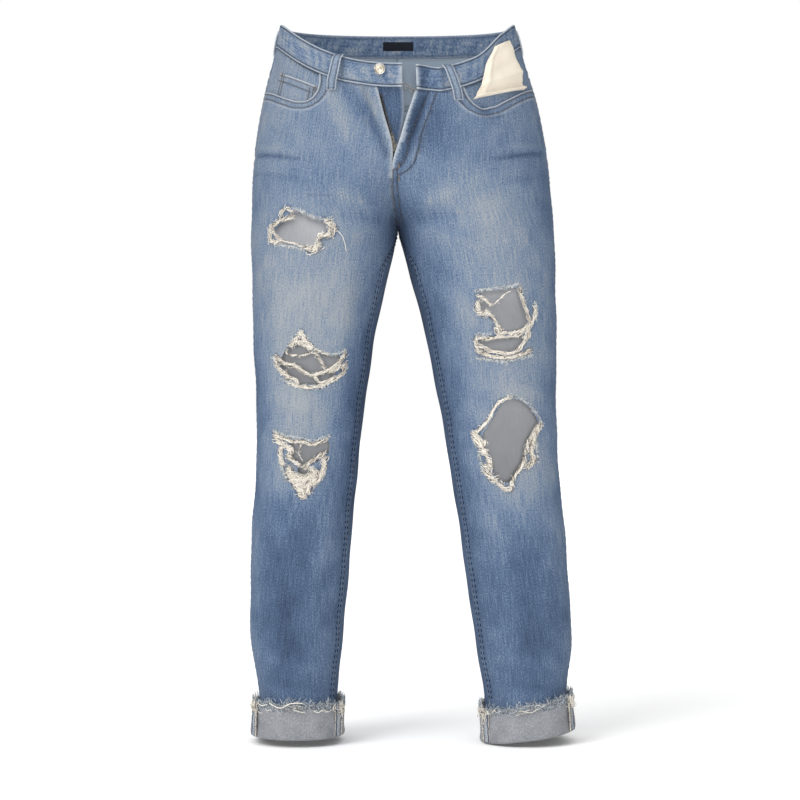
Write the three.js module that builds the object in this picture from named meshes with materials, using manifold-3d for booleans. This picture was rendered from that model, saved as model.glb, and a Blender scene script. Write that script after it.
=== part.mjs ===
// Ripped five-pocket jeans, filled out as if worn, fly open and one pocket pulled out.
// Millimetres, +Z up. The front faces -Y and the wearer's left is +X. The origin is the centre of the
// waist, where the wearer holds the garment up. Every cloth piece is a wall made from one body form:
// at each height the form is an ellipse-like ring for the hips, or one ring for each leg below the crotch.
import * as THREE from "three";
import Module from "manifold-3d";
import { mergeVertices } from "three/addons/utils/BufferGeometryUtils.js";

const wasm = await Module();
wasm.setup();

// ---- Driving dimensions -------------------------------------------------------------------------
const CLOTH = 1.5; // wall of one layer of denim
const GAP = 0.3; // clearance between pieces that are sewn together
const ROUNDNESS = 2.2; // exponent of the rings: 2 is an ellipse, more is squarer
const CROTCH_Z = -229;
const CROTCH_RISE = 140; // height over which one hip ring parts into two leg rings
const SIDE_SEAM = THREE.MathUtils.degToRad(8); // the side seam lies a little to the front of the side
const INSEAM_TURN = THREE.MathUtils.degToRad(25); // the inseam lies this far in front of the inner side
const INSEAM_SETTLE = 60; // height over which the inseam leaves the crotch
const BAND_HEIGHT = 31;
const BAND_HALF = 1.5; // half the waistband's thickness
const BAND_TOP = { front: -25, side: 42, back: 46 };
const LEFT_DROOP = 10; // the unbuttoned left end of the waistband hangs this much lower
const FLY_TOP_Z = -52;
const FLY_END_Z = -150;
const CUFF_HEIGHT = 46;
const LOOP_WIDTH = 12.5;
const LOOP_WALL = 2;
const BELT_ROOM = 6.5; // a belt passes behind each loop
const LABEL = { width: 42, height: 12, wall: 0.8, drop: 8 }; // drop: how far below the band's upper edge
const BUTTON = { x: 23, z: -34 };
const COIN_WALL = 1.1;
const SHIELD_FOOT_Z = -166;
const BAG_WALL = 1.6;
const CUFF_WALL = 2;

// Height stations of the form. front and back are depths from the frame's XZ plane, outer and inner
// are distances from its YZ plane to each leg's two sides.
const DEPTHS = [
  { z: 60, front: 88, back: 98 },
  { z: 0, front: 98, back: 103 },
  { z: -70, front: 104, back: 115 },
  { z: -150, front: 104, back: 124 },
  { z: -229, front: 101, back: 112 },
  { z: -290, front: 97, back: 90 },
  { z: -387, front: 88, back: 73 },
  { z: -515, front: 73, back: 56 },
  { z: -642, front: 59, back: 65 },
  { z: -770, front: 53, back: 62 },
  { z: -850, front: 50, back: 55 },
  { z: -910, front: 54, back: 58 },
];
const RIGHT = {
  name: "right",
  sign: -1,
  hemZ: -899,
  hemSlope: 0,
  cuffHalfWidth: 61.5,
  // Edge of the pocket mouth, from the waistband seam down, round and out to the side seam, each
  // point as distance from the frame's YZ plane and height.
  mouth: [
    [101, -22], [101, -48], [104, -59], [110, -67], [119, -71.5],
    [133, -70], [151, -62], [168, -53], [184, -46],
  ],
  facingFrom: 94,
  facingFoot: [-84, -66],
  widths: [
    { z: 60, outer: 151, inner: GAP },
    { z: 0, outer: 164, inner: GAP },
    { z: -70, outer: 181, inner: GAP },
    { z: -150, outer: 192, inner: GAP },
    { z: -229, outer: 194, inner: GAP },
    { z: -290, outer: 193, inner: 13 },
    { z: -387, outer: 190, inner: 33 },
    { z: -515, outer: 186, inner: 50 },
    { z: -642, outer: 194, inner: 62 },
    { z: -770, outer: 195, inner: 73 },
    { z: -850, outer: 184, inner: 81 },
    { z: -910, outer: 190, inner: 77 },
  ],
  flyEdge: [
    { z: -52, x: 28 },
    { z: -92, x: 15 },
    { z: -120, x: 5 },
    { z: -138, x: 0.8 },
    { z: -150, x: GAP },
  ],
};
const LEFT = {
  name: "left",
  sign: 1,
  hemZ: -900,
  hemSlope: 0.14,
  cuffHalfWidth: 62.5,
  mouth: [
    [80, -30], [82, -46], [86, -58], [91, -68], [99, -77],
    [110, -81.5], [126, -77], [149, -63], [171, -50], [190, -42],
  ],
  facingFrom: 74,
  facingFoot: [-95, -62],
  widths: [
    { z: 60, outer: 149, inner: GAP },
    { z: 0, outer: 165, inner: GAP },
    { z: -70, outer: 186, inner: GAP },
    { z: -150, outer: 200, inner: GAP },
    { z: -229, outer: 206, inner: GAP },
    { z: -290, outer: 208, inner: 16 },
    { z: -387, outer: 209, inner: 40 },
    { z: -515, outer: 210, inner: 64 },
    { z: -642, outer: 222, inner: 84 },
    { z: -770, outer: 230, inner: 102 },
    { z: -850, outer: 224, inner: 115 },
    { z: -910, outer: 231, inner: 115 },
  ],
  flyEdge: [
    { z: -52, x: 25 },
    { z: -92, x: 14.5 },
    { z: -120, x: 8 },
    { z: -138, x: 3 },
    { z: -150, x: GAP },
  ],
};
const SIDES = [RIGHT, LEFT];
// The centre front seam sways to the wearer's right below the fly.
const FRONT_SEAM = [
  { z: -60, x: 0 },
  { z: -130, x: -5 },
  { z: -165, x: -8 },
  { z: -195, x: -7 },
  { z: -229, x: 0 },
];

// Largest folds of the fronts: troughs (height < 0) and ridges along a line from one [x, z] to another.
const FOLDS = [
  { from: [36, -58], to: [4, -148], width: 8, height: -6 },
  { from: [48, -66], to: [22, -142], width: 7, height: 2.5 },
  { from: [-74, -40], to: [-34, -112], width: 8, height: -4.5 },
  { from: [-62, -38], to: [-20, -98], width: 7, height: 3 },
  { from: [-88, -44], to: [-62, -130], width: 9, height: 2.5 },
  { from: [106, -78], to: [128, -92], width: 7, height: -3 },
];

const COLOURS = {
  denim: 0x7c8fa8,
  reverse: 0xa6a9b0,
  bag: 0xf3e7d6,
  label: 0x1b1c2c,
  brass: 0xb9a98a,
  steel: 0x9a9a98,
  tape: 0x3a4658,
};

// ---- Helpers for curves and solids --------------------------------------------------------------

/** Value of a station table at height z, by a smooth curve through its stations, highest first. */
function along(stations, key, z) {
  const last = stations.length - 1;
  if (z >= stations[0].z) return stations[0][key];
  if (z <= stations[last].z) return stations[last][key];
  const i = stations.findIndex((s, n) => n < last && z <= s.z && z >= stations[n + 1].z);
  const span = stations[i].z - stations[i + 1].z;
  const slope = (n) => {
    const a = stations[Math.max(n - 1, 0)];
    const b = stations[Math.min(n + 1, last)];
    return (b[key] - a[key]) / (a.z - b.z);
  };
  const t = (stations[i].z - z) / span;
  const t2 = t * t;
  const t3 = t2 * t;
  return (
    (2 * t3 - 3 * t2 + 1) * stations[i][key] +
    (t3 - 2 * t2 + t) * span * slope(i) +
    (3 * t2 - 2 * t3) * stations[i + 1][key] +
    (t3 - t2) * span * slope(i + 1)
  );
}

const mix = (a, b, t) => a + (b - a) * t;
const clamp01 = (t) => Math.min(1, Math.max(0, t));
const smooth = (t) => clamp01(t) ** 2 * (3 - 2 * clamp01(t));
const steps = (count) => Array.from({ length: count + 1 }, (_, i) => i / count);
const spread = (value, power) => Math.sign(value) * Math.abs(value) ** power;

/** Closed wall between two grids of points, outer[row][column] and inner[row][column]. */
function wallGeometry(outer, inner) {
  const rows = outer.length;
  const columns = outer[0].length;
  const points = [...outer.flat(), ...inner.flat()];
  const at = (layer, row, column) => layer * rows * columns + row * columns + column;
  const index = [];
  const quad = (a, b, c, d) => index.push(a, b, c, a, c, d);
  for (let r = 0; r < rows - 1; r++)
    for (let c = 0; c < columns - 1; c++) {
      quad(at(0, r, c), at(0, r, c + 1), at(0, r + 1, c + 1), at(0, r + 1, c));
      quad(at(1, r, c), at(1, r + 1, c), at(1, r + 1, c + 1), at(1, r, c + 1));
    }
  for (let c = 0; c < columns - 1; c++) {
    quad(at(0, 0, c), at(1, 0, c), at(1, 0, c + 1), at(0, 0, c + 1));
    quad(at(0, rows - 1, c), at(0, rows - 1, c + 1), at(1, rows - 1, c + 1), at(1, rows - 1, c));
  }
  for (let r = 0; r < rows - 1; r++) {
    quad(at(0, r, 0), at(0, r + 1, 0), at(1, r + 1, 0), at(1, r, 0));
    quad(at(0, r, columns - 1), at(1, r, columns - 1), at(1, r + 1, columns - 1), at(0, r + 1, columns - 1));
  }
  return facingOut(points, index);
}

/** Closed ring wall: the grids' last column joins their first. */
function ringGeometry(outer, inner) {
  const rows = outer.length;
  const columns = outer[0].length;
  const points = [...outer.flat(), ...inner.flat()];
  const at = (layer, row, column) => layer * rows * columns + row * columns + (column % columns);
  const index = [];
  const quad = (a, b, c, d) => index.push(a, b, c, a, c, d);
  for (let c = 0; c < columns; c++) {
    for (let r = 0; r < rows - 1; r++) {
      quad(at(0, r, c), at(0, r, c + 1), at(0, r + 1, c + 1), at(0, r + 1, c));
      quad(at(1, r, c), at(1, r + 1, c), at(1, r + 1, c + 1), at(1, r, c + 1));
    }
    quad(at(0, 0, c), at(1, 0, c), at(1, 0, c + 1), at(0, 0, c + 1));
    quad(at(0, rows - 1, c), at(0, rows - 1, c + 1), at(1, rows - 1, c + 1), at(1, rows - 1, c));
  }
  return facingOut(points, index);
}

/** Geometry of points and triangles, turned so that its faces point outwards. */
function facingOut(points, index) {
  let volume = 0;
  const cross = new THREE.Vector3();
  for (let i = 0; i < index.length; i += 3) {
    const [a, b, c] = [points[index[i]], points[index[i + 1]], points[index[i + 2]]];
    volume += a.dot(cross.crossVectors(b, c));
  }
  if (volume < 0)
    for (let i = 0; i < index.length; i += 3) [index[i + 1], index[i + 2]] = [index[i + 2], index[i + 1]];
  const geometry = new THREE.BufferGeometry().setFromPoints(points);
  geometry.setIndex(index);
  return geometry;
}

/** The geometry as a manifold-3d solid. */
function solidOf(geometry) {
  const bare = new THREE.BufferGeometry();
  bare.setAttribute("position", geometry.getAttribute("position"));
  if (geometry.index) bare.setIndex(geometry.index);
  const merged = mergeVertices(bare, 1e-3);
  return new wasm.Manifold(
    new wasm.Mesh({
      numProp: 3,
      vertProperties: merged.attributes.position.array,
      triVerts: new Uint32Array(merged.index.array),
    }),
  );
}

/** A manifold-3d solid's largest body as a geometry. */
function geometryOf(solid) {
  const bodies = solid.decompose().sort((a, b) => b.volume() - a.volume());
  const mesh = bodies[0].getMesh();
  const geometry = new THREE.BufferGeometry();
  geometry.setAttribute("position", new THREE.BufferAttribute(mesh.vertProperties, 3));
  geometry.setIndex(new THREE.BufferAttribute(mesh.triVerts, 1));
  return geometry;
}

const CUT_DEPTH = 180;

/** Prism through the front of the form, from an outline of [x, z] points. */
function frontCutter(outline) {
  const shape = new THREE.Shape(outline.map(([x, z]) => new THREE.Vector2(x, z)));
  const prism = new THREE.ExtrudeGeometry(shape, { depth: CUT_DEPTH, bevelEnabled: false });
  prism.rotateX(Math.PI / 2);
  return solidOf(prism);
}

/** The same prism through the back of the form. */
const backCutter = (outline) => frontCutter(outline).translate([0, CUT_DEPTH, 0]);

// ---- The body form ------------------------------------------------------------------------------

/** How far the two leg rings have come apart at height z: 0 for one hip ring, 1 at the crotch. */
function parting(z) {
  const h = clamp01((z - CROTCH_Z) / CROTCH_RISE);
  return (1 - h ** 1.5) ** 2;
}

const isFront = (theta) => Math.sin(theta) >= 0;

/** Ring of one side at height z. Its front half is measured from the swaying centre front seam. */
function ringAt(side, z, front) {
  const seam = front && z > CROTCH_Z ? along(FRONT_SEAM, "x", z) : 0;
  const outer = along(side.widths, "outer", z) - side.sign * seam;
  const inner = along(side.widths, "inner", z);
  const k = parting(z);
  const reach = z > CROTCH_Z ? outer / (1 + k) : (outer - inner) / 2;
  const depthFront = along(DEPTHS, "front", z);
  const depthBack = along(DEPTHS, "back", z);
  return {
    seam,
    centreX: outer - reach,
    centreY: (depthBack - depthFront) / 2,
    reach,
    depth: (depthBack + depthFront) / 2,
  };
}

/** Point of the form at angle theta, 0 at the side, positive over the front and negative over the back. */
function formPoint(side, theta, z) {
  const ring = ringAt(side, z, isFront(theta));
  const x = ring.centreX + ring.reach * spread(Math.cos(theta), 2 / ROUNDNESS);
  const y = ring.centreY - ring.depth * spread(Math.sin(theta), 2 / ROUNDNESS);
  return new THREE.Vector3(ring.seam + side.sign * x, y, z);
}

/** Outward normal of the form. */
function formNormal(side, theta, z) {
  const turn = 0.02;
  const rise = 2;
  const across = formPoint(side, theta + turn, z).sub(formPoint(side, theta - turn, z));
  const up = formPoint(side, theta, z + rise).sub(formPoint(side, theta, z - rise));
  return up.cross(across).normalize().multiplyScalar(side.sign);
}

/** Height of the folds at [x, z] on the front: each is soft across and fades out towards its ends. */
function foldHeight(x, z) {
  let height = 0;
  for (const fold of FOLDS) {
    const [dx, dz] = [fold.to[0] - fold.from[0], fold.to[1] - fold.from[1]];
    const length = Math.hypot(dx, dz);
    const t = ((x - fold.from[0]) * dx + (z - fold.from[1]) * dz) / length ** 2;
    const across = ((x - fold.from[0]) * dz - (z - fold.from[1]) * dx) / length;
    const fade = Math.sin(Math.PI * clamp01((t + 0.15) / 1.3));
    height += fold.height * fade * Math.exp(-((across / fold.width) ** 2));
  }
  return height;
}

/** Point at distance out from the form, negative inside. Folds move every layer of cloth together. */
function skin(side, theta, z, out) {
  const point = formPoint(side, theta, z);
  const fold = Math.sin(theta) > 0.05 ? foldHeight(point.x, z) : 0;
  return point.addScaledVector(formNormal(side, theta, z), out + fold);
}

/** Angle on the front where the form is x away from the centre front seam. */
function thetaAtX(side, x, z) {
  const ring = ringAt(side, z, true);
  const share = THREE.MathUtils.clamp((x - ring.centreX) / ring.reach, -1, 1);
  return Math.acos(spread(share, ROUNDNESS / 2));
}

/** Angle on the back where the form is x away from the centre back seam. */
function backThetaAtX(side, x, z) {
  const ring = ringAt(side, z, false);
  const share = THREE.MathUtils.clamp((x - ring.centreX) / ring.reach, -1, 1);
  return -Math.acos(spread(share, ROUNDNESS / 2));
}

/** Angle by which theta changes over one millimetre along the ring. */
function anglePerMm(side, theta, z) {
  const turn = 0.01;
  return (2 * turn) / formPoint(side, theta + turn, z).distanceTo(formPoint(side, theta - turn, z));
}

// ---- Seam lines ---------------------------------------------------------------------------------

/** How far the loose left end of the waistband hangs down at angle theta. */
function droop(side, theta) {
  if (side !== LEFT || theta < 0) return 0;
  const degrees = THREE.MathUtils.radToDeg(theta);
  return LEFT_DROOP * smooth((degrees - 34) / 24) * (1 - 0.45 * smooth((degrees - 74) / 7));
}

/** Height of the waistband's upper edge at angle theta. */
function bandTop(side, theta) {
  const end = theta < 0 ? BAND_TOP.back : BAND_TOP.front;
  return mix(end, BAND_TOP.side, Math.cos(theta) ** 2) - droop(side, theta);
}

const bandSeam = (side, theta) => bandTop(side, theta) - BAND_HEIGHT;

/** Height of the seam between yoke and back panel. */
const yokeSeam = (side, theta) =>
  bandSeam(side, theta) - 32 - 40 * Math.sin(Math.min(Math.abs(theta), Math.PI / 2));

/** Angle of the inseam, measured over the front. */
const inseamTheta = (z) => Math.PI - INSEAM_TURN * smooth((CROTCH_Z - z) / INSEAM_SETTLE);

/** Angle of a front panel's inner edge: fly edge, centre front seam, then inseam. */
function frontInnerTheta(side, z) {
  if (z <= CROTCH_Z) return inseamTheta(z);
  const x = z > FLY_END_Z ? along(side.flyEdge, "x", z) : GAP;
  return thetaAtX(side, x, z);
}

/** Angle of a back panel's inner edge: centre back seam, then inseam. */
function backInnerTheta(side, z) {
  if (z > CROTCH_Z) return backThetaAtX(side, GAP / 2, z);
  return inseamTheta(z) - 2 * Math.PI;
}

/** Height of the fold at the foot of a leg. */
function hemHeight(side, theta) {
  return side.hemZ + side.hemSlope * side.cuffHalfWidth * Math.cos(theta);
}

// ---- Pieces on the form -------------------------------------------------------------------------

/**
 * Wall on the form. edges(z) gives its two end angles at height z, top(theta) and foot(theta) its two
 * end heights, and layer(theta, z) how far out its outer face lies.
 */
function formWall(side, { columns, heights, edges, top, foot, layer = () => 0, thickness = CLOTH }) {
  const angle = (u, z) => {
    const [from, to] = edges(z);
    const theta = mix(from, to, u);
    const trim = (GAP / 2) * anglePerMm(side, theta, z) * Math.sign(to - from);
    return theta + trim * (1 - 2 * u) ** 5;
  };
  const endHeight = (end, u) => {
    let z = end(mix(...edges(BAND_TOP.front - BAND_HEIGHT), u));
    for (let pass = 0; pass < 4; pass++) z = end(angle(u, z));
    return z;
  };
  const heightsAt = steps(columns).map((u) => heights(endHeight(top, u), endHeight(foot, u)));
  const row = (r, inset) =>
    steps(columns).map((u, c) => {
      const z = heightsAt[c][r];
      const theta = angle(u, z);
      return skin(side, theta, z, layer(theta, z) - inset);
    });
  return wallGeometry(
    heightsAt[0].map((_, r) => row(r, 0)),
    heightsAt[0].map((_, r) => row(r, thickness)),
  );
}

// Rows of a panel, as shares of the way from its top to the crotch and from the crotch to its foot.
const ROWS_ABOVE = [0, 0.14, 0.28, 0.42, 0.56, 0.7, 0.82, 0.91, 0.96, 0.985];
const ROWS_BELOW = [0, 0.02, 0.05, 0.1, 0.17, 0.26, 0.36, 0.47, 0.58, 0.69, 0.8, 0.9, 1];

/** Heights of a panel's rows, all panels having one at the crotch. */
const panelHeights = (top, foot) => [
  ...ROWS_ABOVE.map((v) => mix(top, CROTCH_Z, v)),
  ...ROWS_BELOW.map((v) => mix(CROTCH_Z, foot, v)),
];

/** Heights of evenly spread rows. */
const evenHeights = (count) => (top, foot) => steps(count).map((v) => mix(top, foot, v));

/** How far the loosened left fly edge turns outwards, at x from the centre front seam. */
function flyLift(x, z) {
  const open = smooth((z - FLY_END_Z) / 60);
  const edge = along(LEFT.flyEdge, "x", z);
  return 6 * open * (1 - smooth((x - edge) / 16));
}

const leftLift = (side) => (theta, z) => {
  if (side !== LEFT || !isFront(theta) || z < FLY_END_Z) return 0;
  return flyLift(formPoint(side, theta, z).x - along(FRONT_SEAM, "x", z), z);
};

const PAST = { x: 240, sideZ: -38, z: 60 }; // clear of the garment, beyond the side seam and the waist

/** Outline of what a pocket mouth takes off its front panel, up past the waist and out past the side. */
function mouthOutline(side) {
  const outline = [...side.mouth, [PAST.x, PAST.sideZ], [PAST.x, PAST.z], [side.mouth[0][0], PAST.z]];
  return outline.map(([x, z]) => [side.sign * x, z]);
}

/** Rips through the front panels: a centre, and an outline around it, in the XZ plane. */
const RIPS = [
  {
    side: RIGHT,
    centre: [-119, -235],
    outline: [[-35, -8], [-30, 10], [-14, 24], [8, 22], [22, 12], [36, 6], [36, -4], [27, -12], [24, -24],
      [10, -23], [-12, -16], [-28, -18]],
  },
  {
    side: RIGHT,
    centre: [-113, -407],
    outline: [[-38, 2], [-28, 14], [-20, 30], [-12, 18], [4, 12], [16, 8], [30, 13], [34, 10], [32, -10],
      [20, -20], [0, -24], [-22, -20], [-36, -6]],
  },
  {
    side: RIGHT,
    centre: [-124, -530],
    outline: [[-36, 28], [-16, 22], [4, 20], [30, 24], [28, 10], [22, -8], [6, -24], [2, -38], [-6, -36],
      [-14, -18], [-22, -2], [-24, 14]],
  },
  {
    side: LEFT,
    centre: [139, -352],
    outline: [[-38, 34], [-14, 36], [14, 42], [20, 30], [36, 22], [36, 4], [26, -12], [30, -26], [14, -38],
      [-18, -38], [-36, -30], [-36, -14], [-18, -10], [-20, 6], [-36, 18]],
  },
  {
    side: LEFT,
    centre: [145, -508],
    outline: [[-10, 50], [8, 54], [26, 44], [40, 20], [28, 4], [22, -14], [14, -30], [4, -50], [-10, -56],
      [-22, -42], [-30, -22], [-40, 2], [-40, 14], [-22, 26], [-18, 38]],
  },
];
const ripOutline = ({ centre, outline }) => outline.map(([x, z]) => [centre[0] + x, centre[1] + z]);

const FRONT_COLUMNS = 11;

/** A front panel, with its pocket mouth and rips cut out. */
function frontPanel(side) {
  const wall = formWall(side, {
    columns: FRONT_COLUMNS,
    heights: panelHeights,
    edges: (z) => [frontInnerTheta(side, z), SIDE_SEAM],
    top: (theta) => bandSeam(side, theta) - GAP,
    foot: (theta) => hemHeight(side, theta) + 2 * GAP + CLOTH,
    layer: leftLift(side),
  });
  let solid = solidOf(wall).subtract(frontCutter(mouthOutline(side)));
  for (const rip of RIPS) if (rip.side === side) solid = solid.subtract(frontCutter(ripOutline(rip)));
  return geometryOf(solid);
}

const BACK_COLUMNS = 12;

/** A back panel, from the yoke seam to the hem. */
function backPanel(side, out = 0) {
  return formWall(side, {
    columns: BACK_COLUMNS,
    heights: panelHeights,
    edges: (z) => [backInnerTheta(side, z), SIDE_SEAM],
    top: (theta) => yokeSeam(side, theta) - GAP,
    foot: (theta) => hemHeight(side, theta) + 2 * GAP + CLOTH,
    layer: () => out,
  });
}

function yoke(side) {
  return formWall(side, {
    columns: BACK_COLUMNS,
    heights: evenHeights(3),
    edges: (z) => [backInnerTheta(side, z), SIDE_SEAM],
    top: (theta) => bandSeam(side, theta) - GAP,
    foot: (theta) => yokeSeam(side, theta),
  });
}

/** A patch of cloth on the front, over [x, z] corners, lying out from the form. */
function frontPatch(side, { columns, rows, corner, out, thickness }) {
  const outer = [];
  const inner = [];
  for (const v of steps(rows)) {
    const places = steps(columns).map((u) => {
      const [x, z] = corner(u, v);
      return { theta: thetaAtX(side, x, z), z, lift: typeof out === "function" ? out(u, v, x, z) : out };
    });
    outer.push(places.map((p) => skin(side, p.theta, p.z, p.lift)));
    inner.push(places.map((p) => skin(side, p.theta, p.z, p.lift - thickness)));
  }
  return wallGeometry(outer, inner);
}

const FACING_OUT = -CLOTH - GAP - 1.9; // the facing lies behind the coin pocket and the mouth's edge

/** Denim facing seen inside a front pocket's mouth. Its foot slopes over the 100 mm it spans. */
function pocketFacing(side, out = FACING_OUT, thickness = CLOTH) {
  const share = (theta) => (formPoint(side, theta, -70).x * side.sign - side.facingFrom) / 100;
  return formWall(side, {
    columns: 6,
    heights: evenHeights(5),
    edges: (z) => [thetaAtX(side, side.facingFrom, z), SIDE_SEAM],
    top: (theta) => bandSeam(side, theta) - GAP - 1,
    foot: (theta) => mix(...side.facingFoot, share(theta)),
    layer: () => out,
    thickness,
  });
}

const COIN = [[-156, -28], [-105, -52], [-110, -80], [-165, -62]];

/** Small coin pocket lying on the right facing, its lower end behind the mouth's edge. */
function coinPocket() {
  const cloth = pocketFacing(RIGHT, FACING_OUT + GAP + COIN_WALL, COIN_WALL);
  return geometryOf(solidOf(cloth).intersect(frontCutter(COIN)));
}

// ---- Waistband and what is on it ----------------------------------------------------------------

function waistbandFront(side, endX) {
  return formWall(side, {
    columns: FRONT_COLUMNS,
    heights: evenHeights(2),
    edges: () => [thetaAtX(side, endX, FLY_TOP_Z), SIDE_SEAM],
    top: (theta) => bandTop(side, theta),
    foot: (theta) => bandSeam(side, theta),
    layer: (theta, z) => BAND_HALF + (side === LEFT ? flyLift(formPoint(side, theta, z).x, FLY_TOP_Z) : 0),
    thickness: 2 * BAND_HALF,
  });
}

/** The back of the waistband, one strip from side seam to side seam. */
function waistbandBack() {
  const columns = steps(BACK_COLUMNS);
  const start = SIDE_SEAM - GAP * anglePerMm(RIGHT, 0, 0);
  const row = (v, out) => {
    const place = (side) => (u) => {
      const theta = mix(start, -Math.PI / 2, u);
      return skin(side, theta, mix(bandTop(side, theta), bandSeam(side, theta), v), out);
    };
    const left = columns.slice(0, -1).map(place(LEFT)).reverse();
    return [...columns.map(place(RIGHT)), ...left];
  };
  return wallGeometry(
    steps(2).map((v) => row(v, BAND_HALF)),
    steps(2).map((v) => row(v, -BAND_HALF)),
  );
}

/** A belt loop that leans from topTheta at the band's upper edge to footTheta below its seam. */
function beltLoop(side, topTheta, footTheta) {
  const stand = [0, 0.45, 1, 1, 1, 1, 0.45, 0]; // share of the belt's room
  const fall = [0.02, 0.05, 0.14, 0.45, 0.8, 1.15, 1.32, 1.48]; // in band heights
  const outer = [];
  const inner = [];
  fall.forEach((v, i) => {
    const theta = mix(topTheta, footTheta, v / fall.at(-1));
    const z = bandTop(side, theta) - v * BAND_HEIGHT - 0.5;
    const base = BAND_HALF + 2 * GAP;
    const out = base + stand[i] * BELT_ROOM;
    const half = (LOOP_WIDTH / 2) * anglePerMm(side, theta, z);
    outer.push([theta - half, theta, theta + half].map((t) => skin(side, t, z, out + LOOP_WALL)));
    inner.push([theta - half, theta, theta + half].map((t) => skin(side, t, z, out)));
  });
  return wallGeometry(outer, inner);
}

/** Blank woven label inside the back of the waistband. */
function waistLabel() {
  const rows = [LABEL.drop, LABEL.drop + LABEL.height];
  const columns = steps(4).map((u) => (u - 0.5) * LABEL.width);
  const row = (drop, out) =>
    columns.map((x) => {
      const side = x < 0 ? RIGHT : LEFT;
      const theta = backThetaAtX(side, Math.abs(x), 30);
      return skin(side, theta, bandTop(side, theta) - drop, out);
    });
  const out = -BAND_HALF - 3 * GAP;
  return wallGeometry(
    rows.map((drop) => row(drop, out)),
    rows.map((drop) => row(drop, out - LABEL.wall)),
  );
}

/** Tack button on the right end of the waistband, standing on a short shank. */
function waistButton() {
  const profile = [
    [0, 0], [3, 0], [3, 2], [6.4, 2.2], [7.6, 3], [7.6, 4], [6.6, 4.7], [5.6, 4.5], [0, 5.1],
  ];
  const geometry = new THREE.LatheGeometry(profile.map(([r, h]) => new THREE.Vector2(r, h)), 24);
  const theta = thetaAtX(RIGHT, BUTTON.x, BUTTON.z);
  const normal = formNormal(RIGHT, theta, BUTTON.z);
  const turn = new THREE.Quaternion().setFromUnitVectors(new THREE.Vector3(0, 1, 0), normal);
  geometry.applyQuaternion(turn);
  const foot = skin(RIGHT, theta, BUTTON.z, BAND_HALF + GAP);
  return geometry.translate(foot.x, foot.y, foot.z);
}

// ---- Fly ----------------------------------------------------------------------------------------

/** Depth of the fly's layers behind the form: shallow at the waist, deep at the slider. */
const flyDepth = (z, shallow, deep) => mix(shallow, deep, smooth((FLY_TOP_Z - z) / 75));

/** Underlap sewn behind the right fly edge, seen between the open edges. */
function flyShield() {
  return frontPatch(RIGHT, {
    columns: 5,
    rows: 6,
    corner: (u, v) => {
      const sewnEdge = mix(42, 22, v);
      const looseEdge = mix(-5, 2, v ** 1.4) - 7 * Math.sin(Math.PI * v ** 0.8);
      return [mix(sewnEdge, looseEdge, u), mix(FLY_TOP_Z - 9, SHIELD_FOOT_Z, v)];
    },
    out: (u, v, x, z) => flyDepth(z, -6.8, -10),
    thickness: CLOTH,
  });
}

const TAPE = { wall: 0.6, width: 11, topZ: FLY_TOP_Z - 12, footZ: -146 };
const TAPE_DEPTH = -5.4; // how far behind the form the closed zip lies

/** Each half's tape edge: distance from the centre front seam, and how far out from the form. */
const TAPE_RUN = {
  right: {
    x: (z) => along(RIGHT.flyEdge, "x", z),
    out: (x, z) => flyDepth(z, -5, TAPE_DEPTH),
  },
  left: {
    x: (z) => along(LEFT.flyEdge, "x", z) + mix(8, 1, clamp01((TAPE.topZ - z) / 60)),
    out: (x, z) => mix(flyLift(x, z) - 3.2, TAPE_DEPTH, smooth((FLY_TOP_Z - z) / 70)),
  },
};

/** Half of the zip's tape, with room for the slider that grips it. */
function zipTape(side) {
  const run = TAPE_RUN[side.name];
  const tape = frontPatch(side, {
    columns: 2,
    rows: 8,
    corner: (u, v) => {
      const z = mix(TAPE.topZ, TAPE.footZ, v);
      return [run.x(z) + TAPE.width * u, z];
    },
    out: (u, v, x, z) => run.out(x, z),
    thickness: TAPE.wall,
  });
  const room = new THREE.BoxGeometry(SLIDER.room.x, SLIDER.room.y, SLIDER.room.z).translate(0, 0, -7);
  room.applyMatrix4(sliderPlace.matrixWorld);
  return geometryOf(solidOf(tape).subtract(solidOf(room)));
}

// The slider's own frame has its origin on the chain at the slider's top, with the zip along Z. It
// leans with the open edges of the fly.
const SLIDER = {
  x: -5.8,
  z: -126,
  lean: THREE.MathUtils.degToRad(-12),
  wall: 4.2,
  length: 12.5,
  mouthHalf: 4, // half its width where the open chains enter
  footHalf: 2.8,
  room: { x: 9, y: 6, z: 15 },
  bridgeWidth: 1.4,
};
// Side outline of the slider's bridge: distance along the zip, and distance out from its middle.
const BRIDGE = [
  [-10.2, 1.8], [-9.4, 5.6], [-2.6, 5.6], [-1.8, 1.8],
  [-3, 1.8], [-3.6, 4.5], [-8.4, 4.5], [-9, 1.8],
];
const PIVOT = { out: 3.3, down: 6 };
const sliderPlace = new THREE.Group();
sliderPlace.position.set(
  SLIDER.x,
  formPoint(RIGHT, thetaAtX(RIGHT, 1, SLIDER.z), SLIDER.z).y - TAPE_DEPTH + TAPE.wall / 2,
  SLIDER.z,
);
sliderPlace.rotation.y = SLIDER.lean;
sliderPlace.updateMatrixWorld();

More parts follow.
